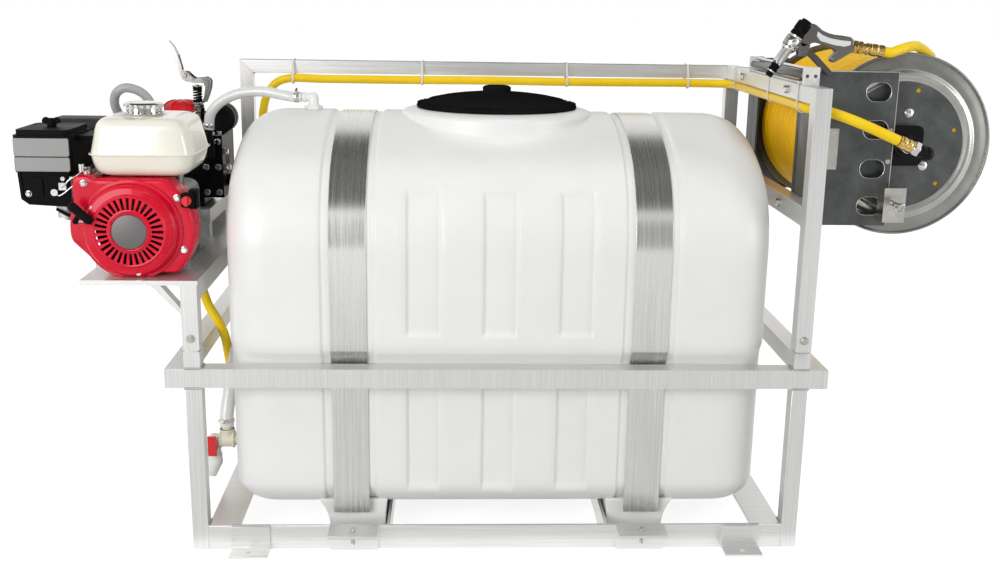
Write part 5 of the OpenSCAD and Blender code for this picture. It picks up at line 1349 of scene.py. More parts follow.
black_bits = join(rim, push(rounded((-190, 56), (-170, 94), 4), 60.4, 64.2, "y"),
                  slab((-114, 58, 44), (-106, 68, 92)),
                  slab((-160, 61.4, 84), (-124, 64.2, 98)),
                  wire([(-148, 62, 34), (-120, 64, 20), (-100, 66, 40), (-90, 68, 70), (-88, 70, 96)],
                       3.2, 8, 12))
piece("choke_bracket", engine(black_bits), "frame", MOULDED_BLACK, bevel=0.8)


# %% [markdown]
# ## Leads and bolts
# The spark lead and the fuel line are flexible, so each is a tube along a smooth curve
# through five given points. The bolts below hold the engine's feet to its deck.

# %% Small engine fittings
spark_lead = wire([(-150, 190, 4), (-156, 168, 18), (-150, 140, 30), (-128, 120, 52), (-108, 110, 84)],
                  3.6, 8, 12)
fuel_line = wire([(-52, 66, 100), (-64, 62, 88), (-86, 64, 74), (-104, 70, 66), (-118, 76, 64)], 3.4, 8, 12)
piece("engine_leads", engine(join(spark_lead, fuel_line)), "frame", MOULDED_BLACK, smooth=60)
oil = disc_lathe([(0, 0), (12, 0), (14, 2), (14, 12), (12, 14), (0, 14)], (75, 118, -30), (0.87, 0, 0.5), 24)
ear_bolts = [bolt_head((x, y, -76.8), (0, 0, 1), 13, 7) for x in (-82, 82) for y in (112.3, 226)]
piece("engine_foot_bolts", engine(join(*ear_bolts)), "frame", ZINC, smooth=40)
piece("oil_filler", engine(oil), "frame", MOULDED_BLACK, smooth=40)
print("engine fittings done")

# %% [markdown]
# ## Pump
# A diaphragm pump has a round head over each diaphragm. The head is a dish, ribbed so
# that it cannot flex, and screwed down all round its rim. The rib section is drawn in
# radius and height, and then turned to each of its places.


# %% Pump heads
def pump_head():
    """A spun dish with eight ribs that stand a little proud of it; the screws are a second part."""
    dish = disc_lathe([(0, 0), (53.4, 0), (54.6, 1), (55, 3), (55, 10.4), (54, 12), (50.5, 13.6), (46.5, 19),
                       (42.5, 26), (38, 32.6), (32, 37.8), (25, 41.4), (14, 44), (0, 44.8)], (0, 0, 0),
                      steps=96)
    rib = push([(15, 30), (50.5, 12.4), (50.5, 14.6), (46, 23), (39.4, 33.6), (32.5, 40), (25, 43.4),
                (15, 44.8)],
               -2.3, 2.3, "y")
    ribs = [moved(rib, turn=about("z", 45 * k + 22.5)) for k in range(8)]
    lugs = [disc_lathe([(0, 2), (7.4, 2), (7.4, 13), (6.6, 14.2), (0, 14.2)],
                       (48 * math.cos(a), 48 * math.sin(a), 0), steps=20) for a in np.arange(8) * math.pi / 4]
    screws = [bolt_head((48 * math.cos(a), 48 * math.sin(a), 13.6), (0, 0, 1), 10, 6)
              for a in np.arange(8) * math.pi / 4]
    return join(dish, *ribs, *lugs), join(*screws)


dish, screws = pump_head()
side_turn = about("y", -90) * 0.62
heads = [[moved(p, (2, 490, 160.3)), moved(p, (-40.3, 490, 60), side_turn)] for p in (dish, screws)]
piece("pump_dishes", engine(join(*heads[0])), "frame", PUMP_RED, smooth=38, bevel=0.7,
      stands_for=["pump_heads"])
piece("pump_screws", engine(join(*heads[1])), "frame", CHROME, smooth=40)
softened("pump_body", GLOSS_BLACK, 2.0)
softened("pump_shaft", STEEL, 0.6, BODY_OF["pump_shaft"])
block_bolts = [bolt_head((x, 424, z), (0, -1, 0), 10, 5) for x in (64, 91) for z in (8, 64, 120)]
fittings = [bolt_head((91, 436, 133), (0, 0, 1), 13, 8), bolt_head((100.6, 446, 96), (1, 0, 0), 12, 7),
            disc_lathe([(0, 0), (7, 0), (7, 9), (5.5, 12), (0, 12)], (100.6, 452, 60), (1, 0, 0), 24)]
piece("block_screws", engine(join(*block_bolts, *fittings)), "frame", CHROME, smooth=40)
brass_nuts = [bolt_head((56, 452, 146), (0.9, -0.4, 0.1), 14, 9),
              lathe([(5, 9), (7, 9.4), (7, 15), (5, 16)], (56, 452, 146), (0.9, -0.4, 0.1), 20)]
piece("pump_unions", engine(join(*brass_nuts)), "frame", BRASS, smooth=40)
tank_profile = [(0, 441.6), (21, 441.6), (23, 440.6), (26, 440), (27.6, 440.8), (28.4, 445.4), (31.6, 446.2),
                (33, 448.4), (33, 459), (32, 460.2), (32, 462), (33, 463.2), (33, 492), (31.6, 495.4),
                (28.4, 496.6),
                (28, 500.6), (26, 502), (0, 502)]
damper = join(disc_lathe(tank_profile, (93.6, 0, 168), (0, 1, 0), 96),
              disc_lathe([(0, 133.4), (11, 133.4), (11, 139), (8, 141), (8, 152), (0, 152)],
                         (93.6, 474, 0), steps=32))
piece("damper_shell", engine(damper), "frame", GLOSS_BLACK, smooth=40, stands_for=["dampener"])

# %% [markdown]
# ## Pressure regulator
# A spring presses a valve shut, and a cam lever takes the load off it in one move. A
# coil spring is a tube carried along a helix: the angle grows evenly while the height
# grows with it, and both ends lie flat because the rise starts and stops smoothly.

# %% Regulator
REG_X, REG_Y = -658.0, 90.0
turns = np.linspace(0, 1, 220)
rise = 847 + 31 * (0.12 * turns + 0.88 * smoothstep(turns, 0.02, 0.98))
angle = turns * 15 * np.pi
coil = np.column_stack([REG_X + 8.5 * np.cos(angle), REG_Y + 8.5 * np.sin(angle), rise])
piece("relief_spring", carry(coil, 1.9, 10), "frame", MOULDED_BLACK, smooth=60)
arch = [(-626, 892), (-629, 898), (-636, 902), (-648, 900.5), (-660, 899), (-668, 905), (-676, 913),
        (-684, 914),
        (-689, 908), (-686, 896), (-678, 892), (-670, 891), (-660, 889), (-648, 890), (-641, 889),
        (-638, 880),
        (-641, 862), (-646, 846), (-640, 846), (-633, 862), (-628, 878)]
cheeks = [push(arch, REG_Y + a, REG_Y + a + 3, "y") for a in (-15, 12)]
bridge = push([(-645, 891), (-628, 889), (-630, 898), (-640, 901), (-648, 899.6)],
              REG_Y - 12.2, REG_Y + 12.2, "y")
seat = disc_lathe([(0, 807), (12.4, 807), (12.4, 824), (14, 825), (14, 835), (12, 836), (0, 836)],
                  (REG_X, REG_Y, 0), steps=48)
nut = disc_lathe([(0, 836), (13, 836), (13, 841), (12, 842), (0, 842)], (REG_X, REG_Y, 0), steps=6)
stem = disc_lathe([(0, 831), (4.5, 831), (4.5, 884), (3.6, 885), (0, 885)], (REG_X, REG_Y, 0), steps=24)
collars = [disc_lathe([(0, z), (11.4, z), (11.8, z + 0.6), (11.8, z + 2), (11.2, z + 2.6), (0, z + 2.6)],
                      (REG_X, REG_Y, 0), steps=32) for z in (842, 880.2)]
pin = disc_lathe([(0, -17.6), (4.6, -17.6), (5, -17), (5, -15.2), (3, -15), (3, 15), (5, 15.2), (5, 17),
                  (0, 17.6)], (-681, REG_Y, 905), (0, 1, 0), 24)
piece("relief_yoke", join(*cheeks, bridge, seat, nut, stem, *collars, pin), "frame", DARK_CHROME,
      smooth=38, bevel=0.9, segments=3, stands_for=["regulator"])
softened("regulator_lever", DARK_CHROME, 1.6, BODY_OF["regulator_lever"])

# %% [markdown]
# ## Hoses on the left
# Each hose follows the same few points as its imported solid, with many more
# steps between them. A worm-drive clip is a thin band with a screw housing on one side.


# %% Hoses, elbow and outlet
def clip(centre, axis, radius, width=9.0, screw=(0, 0, 1)):
    """A hose clip: a rolled band about the axis, and a housing with a slotted screw on the side named."""
    axis = np.asarray(axis, float) / np.linalg.norm(axis)
    side = np.asarray(screw, float) - axis * (np.asarray(screw, float) @ axis)
    side /= np.linalg.norm(side)
    h = width / 2
    band = lathe([(radius - 0.6, -h), (radius + 0.9, -h), (radius + 1.3, -h + 0.7), (radius + 1.3, h - 0.7),
                  (radius + 0.9, h), (radius - 0.6, h), (radius - 0.6, -h)], centre, axis, 48)
    across = np.cross(axis, side)
    middle = np.asarray(centre, float) + side * (radius + 3.6)
    house = disc_lathe([(0, -6.5), (4.2, -6.5), (4.2, 6.5), (0, 6.5)], middle, across, 8)
    head = disc_lathe([(0, 6), (4.6, 6), (4.6, 9.6), (3.8, 10.2), (0, 10.2)], middle, across, 12)
    return join(band, house, head)


return_line = through([(-418, 0, 868), (-440, 0, 868.6), (-462, 2, 872), (-500, 6, 878), (-545, 11, 875),
                       (-588, 15, 858), (-616, 17, 830), (-622, 18, 795)], 10)
piece("return_tube", carry(return_line, 11, 24), "frame", HOSE_CLEAR, smooth=60, stands_for=["return_hose"])
quarter = np.radians(np.arange(15, 91, 7.5))
suction_line = np.concatenate([
    through([(-578, -150, 176), (-578, -146, 205), (-567, -112, 290), (-558, -58, 362), (-553, 20, 432),
             (-552, 80, 510), (-553, 102, 590), (-558, 104, 648)], 10),
    np.column_stack([-582 + 24 * np.cos(quarter), np.full(len(quarter), 104.0), 648 + 24 * np.sin(quarter)]),
    [(-590.2, 104, 672)]])
piece("suction_tube", carry(suction_line, 15, 28), "frame", HOSE_CLEAR, smooth=60,
      stands_for=["suction_hose"])
bypass_line = through([(-745, 54, 824), (-755, 48, 853), (-772, 42, 872), (-800, 38, 880), (-822, 42, 868),
                       (-832, 60, 842), (-826, 84, 812), (-800, 100, 780), (-770, 100, 760)], 8)
piece("bypass_tube", carry(bypass_line, 10, 24), "frame", HOSE_GREY, smooth=60, stands_for=["bypass_hose"])
clips = join(clip((-429, 0, 868.3), (1, 0, 0.02), 11, 10, (0.1, -0.4, 0.9)),
             clip((-578, -148.6, 189), (0, 0.14, 1), 15, 9, (-0.6, -1, 0)),
             clip((-580, 104, 671.9), (1, 0, -0.05), 15, 8, (0, 0, 1)),
             clip((-622, 18, 803), (0.1, 0, 1), 11, 9, (-1, -0.4, 0)))
piece("hose_clips", clips, "frame", CHROME, smooth=40, bevel=0.25, segments=1)
elbow_parts = join(
    disc_lathe([(0, 842.5), (20.2, 842.5), (20.2, 849.2), (18.6, 850), (0, 850)], (-393, 0, 0), steps=6),
    disc_lathe([(0, 849), (14.4, 849), (14.4, 852), (12, 853), (11, 856), (11, 868), (0, 868)],
               (-393, 0, 0), steps=40),
    disc_lathe([(0, 857), (5, 857.9), (8.6, 861.2), (11, 868), (9.5, 873.5), (5.5, 877.5), (0, 879)],
               (-393, 0, 0),
               steps=40),
    disc_lathe([(0, -3), (9.4, -3), (9.4, 15), (11, 16), (11, 21), (9.6, 22), (9, 24.4), (0, 24.4)],
               (-393, 0, 868),
               (-1, 0, 0), 40),
    lathe([(4.6, 24), (8, 24), (6.8, 30), (8, 30.4), (6.8, 36), (8, 36.4), (6.5, 50), (4.6, 50), (4.6, 24)],
          (-393, 0, 868), (-1, 0, 0), 32))
piece("elbow_moulding", elbow_parts, "frame", PVC_WHITE, smooth=40, bevel=0.4, stands_for=["return_elbow"])
softened("outlet_tee", NYLON_CREAM, 1.3)
TEE_AT = (-578, -150, 146)
tee_rings = [lathe([(13, a), (18.6, a), (18.9, a + 0.8), (18.9, a + 3.2), (18.6, a + 4), (13, a + 4),
                    (13, a)],
                   TEE_AT, (1, 0, 0), 48) for a in (-15.8, 11.6)]
tee_top = lathe([(12, 19.6), (16.4, 19.6), (16.8, 20.4), (16.8, 23.2), (16.2, 24), (12, 24), (12, 19.6)],
                TEE_AT, (0, 0, 1), 48)
piece("tee_beads", join(*tee_rings, tee_top), "frame", NYLON_CREAM, smooth=40)
softened("drain_valve", PVC_WHITE, 1.2)
softened("valve_handle", HANDLE_RED, 2.2, BODY_OF["valve_handle"])
print("hose clips:", 4)

# %% [markdown]
# ## Hose reel
# The plates of the reel are folded sheet, and each disc of the drum is pressed: a raised
# bead and a rolled rim stop the thin sheet from bending. Six small holes lie between the
# hub and the bead. Round each hole the sheet is one patch: every point on the border of
# its sector is joined to the point of the hole that lies in the same direction.


# %% Reel plates and bearings
reel_plates = softened("reel_frame", REEL_GREY, 0.9)
second_finish(reel_plates, CHROME, lambda x, y, z: (np.abs(np.abs(y) - 186) < 9.5) & (
    (x < 600) | ((x > 614.9) & (x < 621))) & ((np.abs(z - 911) < 9.5) | (np.abs(z - 681) < 9.5)))
second_finish(reel_plates, ZINC, lambda x, y, z: (y < -248.1) & (x > 758))
# The pale tubes and strips along the plate's outer edges and round its oval holes are painted highlight: they
# stand in for the light that these edges catch.
EDGE_PAINTED_HIGHLIGHT = finish("edge_painted_highlight", (0.55, 0.55, 0.53), 0.3, 0.9, 0.1, dust=0.0)


def oval_edge(x, z, y=-248.1):
    """A painted highlight round one oval hole: a thin pale tube along a rectangle whose corners are 18 mm
    arcs.
    """
    t = np.linspace(0, 2 * np.pi, 49)
    c, s = np.cos(t), np.sin(t)
    points = np.column_stack([x + 7.2 * np.tanh(9 * c) + 18 * c, np.full(49, y),
                              z + 0.7 * np.tanh(9 * s) + 18 * s])
    return carry(points, 0.55, 6, start=(0, 1, 0))


edge_lines = [oval_edge(745, z) for z in (685, 760, 838, 912)]
edge_lines += [slab((781.6, -248.8, 646), (783.2, -246, 952.2)),
               slab((612, -248.8, 950.6), (781.8, -246, 952.2))]
piece("plate_edge_painted_highlights", join(*edge_lines), "frame", EDGE_PAINTED_HIGHLIGHT, smooth=40)
softened("reel_bearings", GLOSS_BLACK, 1.6)
plate_nuts = [bolt_head((806 + a, s * 246, 806 + b), (0, s, 0), 10, 4, False)
              for s in (-1, 1) for a, b in ((-31, -31), (-31, 31))]
piece("bearing_nuts", join(*plate_nuts), "frame", ZINC, smooth=40)
tag = push(rounded((628, 758), (672, 840), 1.5), -249.2, -248, "y")
rivets = [disc_lathe([(0, 0), (2.8, 0), (2.2, 1.2), (0, 1.6)], (x, -249.2, z), (0, -1, 0), 16)
          for x in (636, 664) for z in (766, 832)]
piece("blank_tag", join(tag, *rivets), "frame", ZINC, bevel=0.3, segments=1)


# %% [markdown]
# ## Drum
# Both discs are one shape, mirrored. Everything but the ring of holes is a lathe, because
# a spun profile keeps the bead and the rim even all the way round.

# %% Drum
DISC_Y, DISC_R, HOLE_AT, HOLE_R = 226.0, 183.0, 112.0, 4.75


def holed_ring(y_front, y_back, inner=100.0, outer=124.0):
    """Both faces of the ring with six holes, and the walls of the holes."""
    step = np.radians(2.0)
    parts = []
    radial = np.linspace(inner, outer, 5)[1:-1]
    for k in range(6):
        a = np.radians(16 + 60 * k) + step * np.arange(-15, 16)
        r = np.concatenate([np.full(31, inner), radial, np.full(31, outer), radial[::-1]])
        t = np.concatenate([a, np.full(3, a[-1]), a[::-1], np.full(3, a[0])])
        border = np.column_stack([r * np.cos(t), r * np.sin(t)])
        middle = HOLE_AT * np.array([math.cos(a[15]), math.sin(a[15])])
        out = border - middle
        hole = middle + HOLE_R * out / np.linalg.norm(out, axis=1)[:, None]
        rows = [(border, y_front), (hole, y_front), (hole, y_back), (border, y_back)]
        points = np.stack([np.column_stack([p[:, 0], np.full(len(p), y), p[:, 1]]) for p, y in rows])
        parts.append((points.reshape(-1, 3), grid_faces(4, len(border), wrap_columns=True)))
    return join(*parts)


def drum_disc():
    """The front disc with its outer face at y = 0: a lathe of everything but the ring of holes."""
    u = np.linspace(0, 1, 15)
    bead_out = np.column_stack([127 + 24 * u, -4.2 * np.sin(np.pi * u) ** 1.5])
    bead_in = np.column_stack([150 - 22 * u, 2.5 - 3.9 * np.sin(np.pi * u) ** 1.5])
    lip = np.radians(np.linspace(200, -20, 9))
    edge = np.column_stack([DISC_R - 2.6 + 2.6 * np.cos(lip), 1.6 - 2.6 * np.sin(lip)])
    around = np.concatenate([[(124, 0)], bead_out, [(154, -0.4), (166, 1.4), (DISC_R - 6, 3.0)], edge,
                             [(DISC_R, 4.4), (DISC_R - 1.2, 5.8), (DISC_R - 3, 5.2), (165, 3.9)], bead_in,
                             [(124, 2.5)]])
    inside = lathe([(100, 0), (60, 0), (30, 0), (11, 0), (11, 2.5), (60, 2.5), (100, 2.5)],
                   (0, 0, 0), (0, 1, 0), 180)
    return join(lathe(around, (0, 0, 0), (0, 1, 0), 180), inside, holed_ring(0.0, 2.5))


reel_part = lambda part: moved(part, (806, 0, 806))
front_disc = moved(drum_disc(), (0, -DISC_Y, 0))
back_disc = (front_disc[0] * (1, -1, 1), front_disc[1])
DRUM_BODY = BODY_OF["reel_drum"]
drum_sheets = piece("drum_sheets", reel_part(join(front_disc, back_disc)), DRUM_BODY, REEL_GREY, smooth=30,
                    stands_for=["reel_drum"])
# The outer flange and rim, and the raised bead, get lighter colours than the rest of the same sheet: painted
# highlight for the light these rings catch.
RIM_PAINTED_HIGHLIGHT = finish("drum_rim_painted_highlight", (0.27, 0.268, 0.25), 0.30, 0.85, 0.15, blotch=14, dust=0.06)
BEAD_PAINTED_HIGHLIGHT = finish("drum_bead_painted_highlight", (0.42, 0.415, 0.39), 0.28, 0.9, 0.12, blotch=14, dust=0.06)
second_finish(drum_sheets, RIM_PAINTED_HIGHLIGHT, lambda x, y, z: np.hypot(x - 806, z - 806) > 151)
second_finish(drum_sheets, BEAD_PAINTED_HIGHLIGHT, lambda x, y, z: np.abs(np.hypot(x - 806, z - 806) - 139) < 12.5)
core = join(disc_lathe([(0, -225), (55, -225), (55, 225), (0, 225)], (0, 0, 0), (0, 1, 0), 64),
            disc_lathe([(0, -268), (12, -268), (12.5, -267.4), (12.5, 267.4), (12, 268), (0, 268)],
                       (0, 0, 0), (0, 1, 0), 48),
            disc_lathe([(0, -345), (9.6, -345), (10, -344.4), (10, -250), (0, -250)], (0, 0, 0),
                       (0, 1, 0), 40))
piece("drum_core", reel_part(core), DRUM_BODY, STEEL, smooth=40)
hub_bolts = []
for s in (-1, 1):
    for k in range(3):
        a = math.radians(40 + 120 * k)
        hub_bolts.append(bolt_head((65 * math.cos(a), s * DISC_Y, -65 * math.sin(a)), (0, s, 0), 13, 3.2))
piece("hub_bolts", reel_part(join(*hub_bolts)), DRUM_BODY, CHROME, smooth=40)


# %% [markdown]
# ## Wound hose
# The outer layer is a helix of tube, which the eye reads as single turns. The layers under
# it are never seen, so one plain sleeve fills them.

# %% Wound hose
def wound(turns=20, steps=80, sides=14):
    """A helix of hose whose radius wavers by a millimetre, so that the turns do not look machined."""
    pitch = 2 * (DISC_Y - 3) / 21
    t = np.linspace(0, turns * 2 * np.pi, turns * steps + 1)
    waver = 0.7 * np.sin(t * 0.37 + 1) + 0.5 * np.sin(t * 1.13 + 2)
    r = 160.6 + waver
    y = -DISC_Y + 3 + pitch * (0.5 + t / (2 * np.pi)) + 0.9 * np.sin(t * 0.61)
    y = np.clip(y, -DISC_Y + 13.5, DISC_Y - 13.5)
    return carry(np.column_stack([r * np.cos(t), y, r * np.sin(t)]), 9.9, sides, start=(0, 1, 0))


layer = lathe([(56, -222.6), (150, -222.6), (151, -222), (151, 222), (150, 222.6), (56, 222.6), (56, -222.6)],
              (0, 0, 0), (0, 1, 0), 96)
# The wound hose is the same hose as the supply line, given a deeper orange than HOSE_YELLOW: painted shade
# for the shadow inside the reel frame.
WOUND_PAINTED_SHADE = finish("wound_yellow_painted_shade", (1.0, 0.57, 0.004), 0.36, grain=0.06, drift=0.05, blotch=25, dust=0.0,
                      specular_ior_level=0.2)
piece("wound_turns", reel_part(wound()), DRUM_BODY, WOUND_PAINTED_SHADE, smooth=70, stands_for=["hose_pack"])
piece("wound_under", reel_part(layer), DRUM_BODY, WOUND_PAINTED_SHADE, smooth=40)

# %% [markdown]
# ## Crank, pin and swivel
# Water enters the turning drum through a swivel. Its nut and the crimped ferrule lean
# up to the left, so both are spun about that slanted line.

# %% Reel fittings
softened("reel_crank", REEL_GREY, 1.0, DRUM_BODY)
hold = np.linspace(0, 1, 13)
grip_profile = [(5.1, 0), (11.5, 0)] + [(13.9 - 1.6 * (2 * v - 1) ** 4 - 0.9 * math.sin(math.pi * v) ** 4,
                                         98 * v)
                                        for v in hold[1:-1]] + [(11.5, 98), (5.1, 98), (5.1, 0)]
piece("crank_handle", lathe(grip_profile, (806, 277, 646), (0, 1, 0), 48), BODY_OF["crank_grip"],
      MOULDED_BLACK,
      smooth=50, stands_for=["crank_grip"])
pin_x, pin_z = 778.9, 697.3
bolt_profile = [(0, -328), (4.4, -328), (5, -327), (5, -262), (5, -247.4), (4.2, -246.6), (4.2, -233),
                (3, -231.4),
                (0, -231.4)]
pull = carry(through([(-8.5, 0, 5), (-9, 0, 0), (-6, 0, -8), (0, 0, -10.6), (6, 0, -8), (9, 0, 0),
                      (8.5, 0, 5)], 6),
             1.7, 10)
pull = moved(pull, (pin_x, -322, pin_z - 0.5))
bar = disc_lathe([(0, -10.6), (2.6, -10.6), (3, -10), (3, 10), (2.6, 10.6), (0, 10.6)],
                 (pin_x, -322, pin_z + 3),
                 (1, 0, 0), 20)
piece("locking_bolt", join(disc_lathe(bolt_profile, (pin_x, 0, pin_z), (0, 1, 0), 32), pull, bar),
      BODY_OF["reel_lock_pin"], ZINC, smooth=45, stands_for=["reel_lock_pin"])
SWIVEL = (806, -366, 806)
LEAN = (-math.sin(math.radians(67)), 0, math.cos(math.radians(67)))
body_profile = [(10.1, -316), (12.6, -316), (14, -317), (14, -325), (13, -326), (13, -331), (14, -332),
                (14, -345),
                (10.1, -345.4), (10.1, -316)]
ball = np.radians(np.linspace(-90, 90, 13))
black_parts = join(lathe(body_profile, (806, 0, 806), (0, 1, 0), 48),
                   disc_lathe([(14 * math.cos(b), -366 + 14 * math.sin(b)) for b in ball[:7]]
                              + [(14, -346), (13.4, -345.5), (0, -345.5)], (806, 0, 806), (0, 1, 0), 48),
                   disc_lathe([(0, 6), (12, 6), (12, 18), (11, 20), (0, 20)], SWIVEL, LEAN, 40))
piece("swivel_body", black_parts, "frame", GLOSS_BLACK, smooth=45, stands_for=["swivel"])
piece("swivel_nut", join(disc_lathe([(0, 20), (13.4, 20), (15, 21.2), (15, 31), (13.4, 32.2), (0, 32.2)],
                                    SWIVEL, LEAN, 6),
                         disc_lathe([(0, 32), (12.4, 32), (12.4, 34), (0, 34)], SWIVEL, LEAN, 32)),
      "frame", CHROME, smooth=30, bevel=0.4)


def ferrule(start, length, radius, crimps=5):
    """Profile of a crimped sleeve: the radius dips by 0.9 mm once for every crimp."""
    h = np.linspace(0, 1, crimps * 8 + 1)
    dip = 0.9 * np.clip(np.sin(np.pi * crimps * h), 0, 1) ** 0.5 * (np.abs(2 * h - 1) < 0.86)
    body = list(zip(radius - dip, start + length * h))
    return [(0, start)] + [(radius - 1, start)] + body + [(radius - 1, start + length), (0, start + length)]


piece("swivel_ferrule", disc_lathe(ferrule(33.5, 28.5, 12), SWIVEL, LEAN, 40), "frame", BRASS, smooth=45)
print("reel done")

# %% [markdown]
# ## Supply hose, ties and guide
# The hose is tied under the top rails all the way round the frame. A roller guide on
# the right rail keeps the hose from rubbing as it is pulled off the drum.

# %% Supply hose and guide
supply_points = [
    (-690, 171.6, 660), (-692, 215, 655), (-694, 268, 622), (-694, 284, 560), (-692, 270, 505),
    (-676, 150, 465),
    (-654, 30, 458), (-639, -38, 449), (-622, -66, 420), (-602, -76, 390), (-591, -68, 356), (-587, -58, 316),
    (-589, -20, 260), (-593, 60, 226), (-592, 150, 218), (-580, 250, 246), (-567, 325, 350), (-564, 340, 520),
    (-564, 350, 690), (-557, 352, 800), (-537, 346, 856), (-495, 339, 882.6), (-400, 338, 883),
    (-200, 338, 883),
    (0, 338, 884), (200, 338, 883), (420, 338, 884), (510, 336, 884), (548, 331, 884.2), (574, 318, 884.5),
    (586, 294, 884.5), (588, 270, 884.5), (588, 240, 884.5), (588, 120, 884.5), (588, -100, 884.5),
    (588, -240, 884.5), (588, -285, 884.5), (592.5, -305, 884), (606, -323, 882.5), (628, -336, 878),
    (656, -346, 869), (688, -357, 856.5), (718, -365, 843.4), (748, -366, 830.6)]
piece("supply_tube", carry(through(supply_points, 10), 10, 20), "frame", HOSE_YELLOW, smooth=60,
      stands_for=["discharge_hose"])
TIE_WHITE = finish("tie_white", (0.74, 0.73, 0.68), 0.4, grain=0.05, dust=0.1)
softened("hose_ties", TIE_WHITE, 0.4)
guide = softened("hose_guide", GUIDE_WHITE, 0.7)
second_finish(guide, CHROME, lambda x, y, z: (np.hypot(x - 594, z - 956.5) < 3.3) & (y > -289) & (y < 126))


def roller(x):
    """A roller on a thin spindle, with a groove near each end and a rounded shoulder."""
    return disc_lathe([(0, -293.5), (3.4, -293.5), (3.5, -286.6), (6.2, -286.4), (7, -285.6), (7, -276),
                       (6.3, -275),
                       (6.3, -272), (7, -271), (7, 108), (6.3, 109), (6.3, 112), (7, 113), (7, 121.6),
                       (6.2, 122.4),
                       (3.5, 122.6), (3.4, 130), (0, 130)], (x, 0, 944), (0, 1, 0), 32)


ROLLER_GREY = finish("roller_grey", (0.10, 0.10, 0.10), 0.3, 0.4, 0.1, grain=0.05, dust=0.2)
piece("roller_near", roller(586), BODY_OF["guide_roller_left"], ROLLER_GREY, smooth=40,
      stands_for=["guide_roller_left"])
piece("roller_far", roller(602), BODY_OF["guide_roller_right"], ROLLER_GREY, smooth=40,
      stands_for=["guide_roller_right"])

# %% [markdown]
# ## Spray gun
# The barrel is a stack of turned parts about one slanted line, from the nozzle up to the
# black end cap. The hand grip is a flat casting whose edges are rounded generously.

# %% Gun
gun_axis = (math.sin(math.radians(33.5)), 0, math.cos(math.radians(33.5)))
gun_turn = about("y", 33.5)
TIP = (518, -261, 942)
turned = lambda profile, steps=40: disc_lathe(profile, TIP, gun_axis, steps)
nozzle = join(turned([(0, 0), (5.4, 0), (7, 1.4), (7, 9), (6, 10), (0, 10)], 32),
              turned([(0, 12), (8.4, 12), (9, 12.8), (9, 18), (8, 19), (8, 21), (9, 22), (9, 27), (0, 27)]),
              turned([(0, 90), (13.6, 90), (15, 91.4), (15, 98), (14.2, 99), (14.2, 102), (15, 103),
                      (15, 118),
                      (13.8, 120.4), (11, 121.4), (10.4, 122), (10.4, 125), (9.6, 126), (0, 126)]))
piece("gun_dark_parts", nozzle, "frame", MOULDED_BLACK, smooth=40)
bright = join(turned([(0, 9.4), (7.8, 9.4), (8.2, 10), (8.2, 11.8), (7.6, 12.4), (0, 12.4)]),
              turned([(0, 26.6), (9.6, 26.6), (10.6, 27.4), (10.6, 30.6), (9.8, 31.4), (0, 31.4)]),
              turned([(0, 58), (10.4, 58), (12.6, 60.4), (14, 62.4), (14, 66), (12.6, 67.6), (12.6, 71),
                      (14, 73),
                      (14, 84), (13, 86), (14.4, 88), (14.4, 90.4), (0, 90.4)]),
              *[moved(carry(through([(s * 12, -9 + q, 64), (s * 13.4, -8 + q, 76),
                                     (s * 12.6, -6 + q, 88)], 6), 1.5, 8),
                      TIP, gun_turn) for s in (-1, 1) for q in (0, 14)],
              *[moved(slab((-1.4 + a, -11.2, 30), (1.4 + a, -9.4, 59)), TIP, gun_turn) for a in (-4.5, 4.5)])
piece("gun_bright_parts", bright, "frame", CHROME, smooth=40, stands_for=["spray_gun"])
SLEEVE = finish("gun_sleeve", (0.62, 0.63, 0.62), 0.18, 0.2, grain=0.02, dust=0.05, coat_weight=0.8,
                coat_roughness=0.05)
piece("gun_sleeve", turned([(0, 31), (10.2, 31), (10.5, 31.6), (10.5, 57.6), (10.2, 58.2), (0, 58.2)]),
      "frame",
      SLEEVE, smooth=40)
grip_line = [(570, 1008), (573, 1001), (578, 996.5), (584, 997.4), (590, 1000), (597, 1006),
             (604, 1006.4), (612, 1005),
             (624, 1001), (634, 997), (643, 992.6), (646, 989), (640, 983), (636.4, 978), (636.6, 972),
             (642, 968.4),
             (655, 976), (668, 984), (678, 990), (680, 1001), (679.4, 1012), (672, 1018), (656, 1020.6),
             (640, 1022),
             (628, 1025), (616, 1030), (604, 1039.4), (598, 1042), (590, 1041.6), (580, 1025)]
piece("gun_grip", push(grip_line, -272, -250, "y"), "frame", GUN_GREY, smooth=50, bevel=4.0, segments=4)
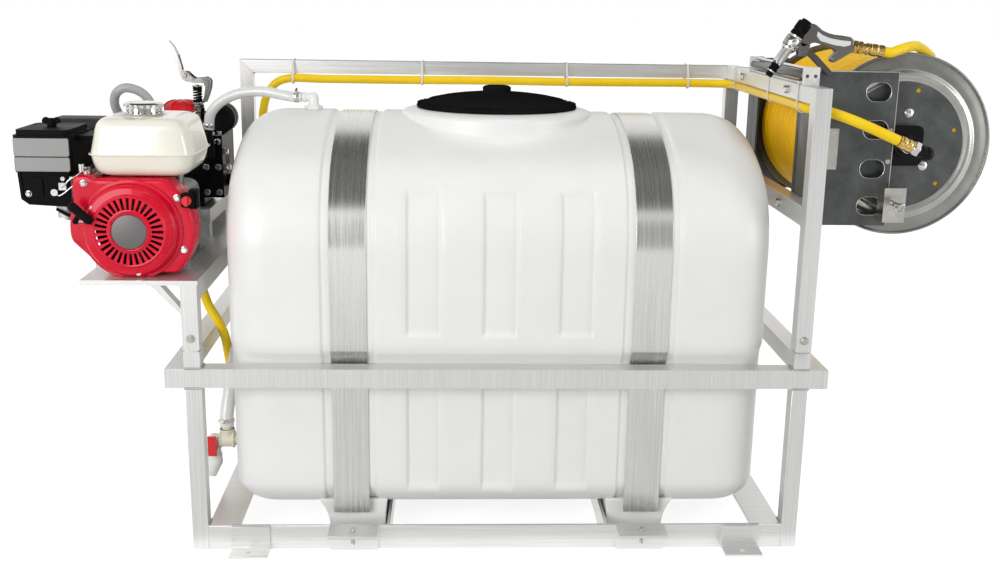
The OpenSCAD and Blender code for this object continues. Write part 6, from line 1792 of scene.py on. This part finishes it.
ears = [push([(573, 980), (587, 980), (594, 1002), (570, 1008)], y, y + 3.6, "y") for y in (-272, -253.6)]
hinge_pin = disc_lathe([(0, -273.2), (3.6, -273.2), (4, -272.4), (2.45, -272), (2.45, -250), (4, -249.8),
                        (3.6, -249),
                        (0, -249)], (580, 0, 988), (0, 1, 0), 20)
piece("gun_ears", join(*ears, hinge_pin), "frame", GUN_GREY, smooth=40, bevel=0.8)
inlay = push([(612, 1010), (640, 1002.4), (660, 999.6), (672, 1003), (672, 1010), (650, 1012), (630, 1015.6),
              (616, 1021), (606, 1028), (604, 1020)], -273.1, -271.4, "y")
piece("grip_inlay", inlay, "frame", GUIDE_WHITE, bevel=0.8)
softened("gun_trigger", LEVER_GREY, 1.6, BODY_OF["gun_trigger"])
BRASS_AT = (679, -261, 1000)
BRASS_LINE = (math.sin(math.radians(98)), 0, math.cos(math.radians(98)))
brass_parts = join(disc_lathe([(0, 0), (12.6, 0), (14, 1.2), (14, 8), (12.8, 9), (0, 9)], BRASS_AT,
                              BRASS_LINE, 6),
                   disc_lathe([(0, 8.6), (9.6, 8.6), (9.6, 12), (0, 12)], BRASS_AT, BRASS_LINE, 32),
                   disc_lathe([(0, 11), (12.6, 11), (14, 12), (14, 18), (12.8, 19), (0, 19)], BRASS_AT,
                              BRASS_LINE, 6),
                   disc_lathe([(0, 19), (9.4, 19), (9.4, 26), (11.6, 26.4), (11.6, 31), (9.6, 31.6),
                               (9.6, 35), (0, 35)],
                              BRASS_AT, BRASS_LINE, 32),
                   disc_lathe(ferrule(34, 28, 12, 4), BRASS_AT, BRASS_LINE, 40))
piece("gun_brass", brass_parts, "frame", BRASS, smooth=40, bevel=0.3, segments=1)
gun_line = through([(741, -261, 991.2), (749, -261, 990.1), (757, -261, 989.4), (788, -248, 998),
                    (818, -226, 1001),
                    (842, -208, 992), (862, -198, 978.4)], 10)
piece("gun_tube", carry(gun_line, 10, 20), "frame", HOSE_YELLOW, smooth=60, stands_for=["gun_hose"])
print("gun done")
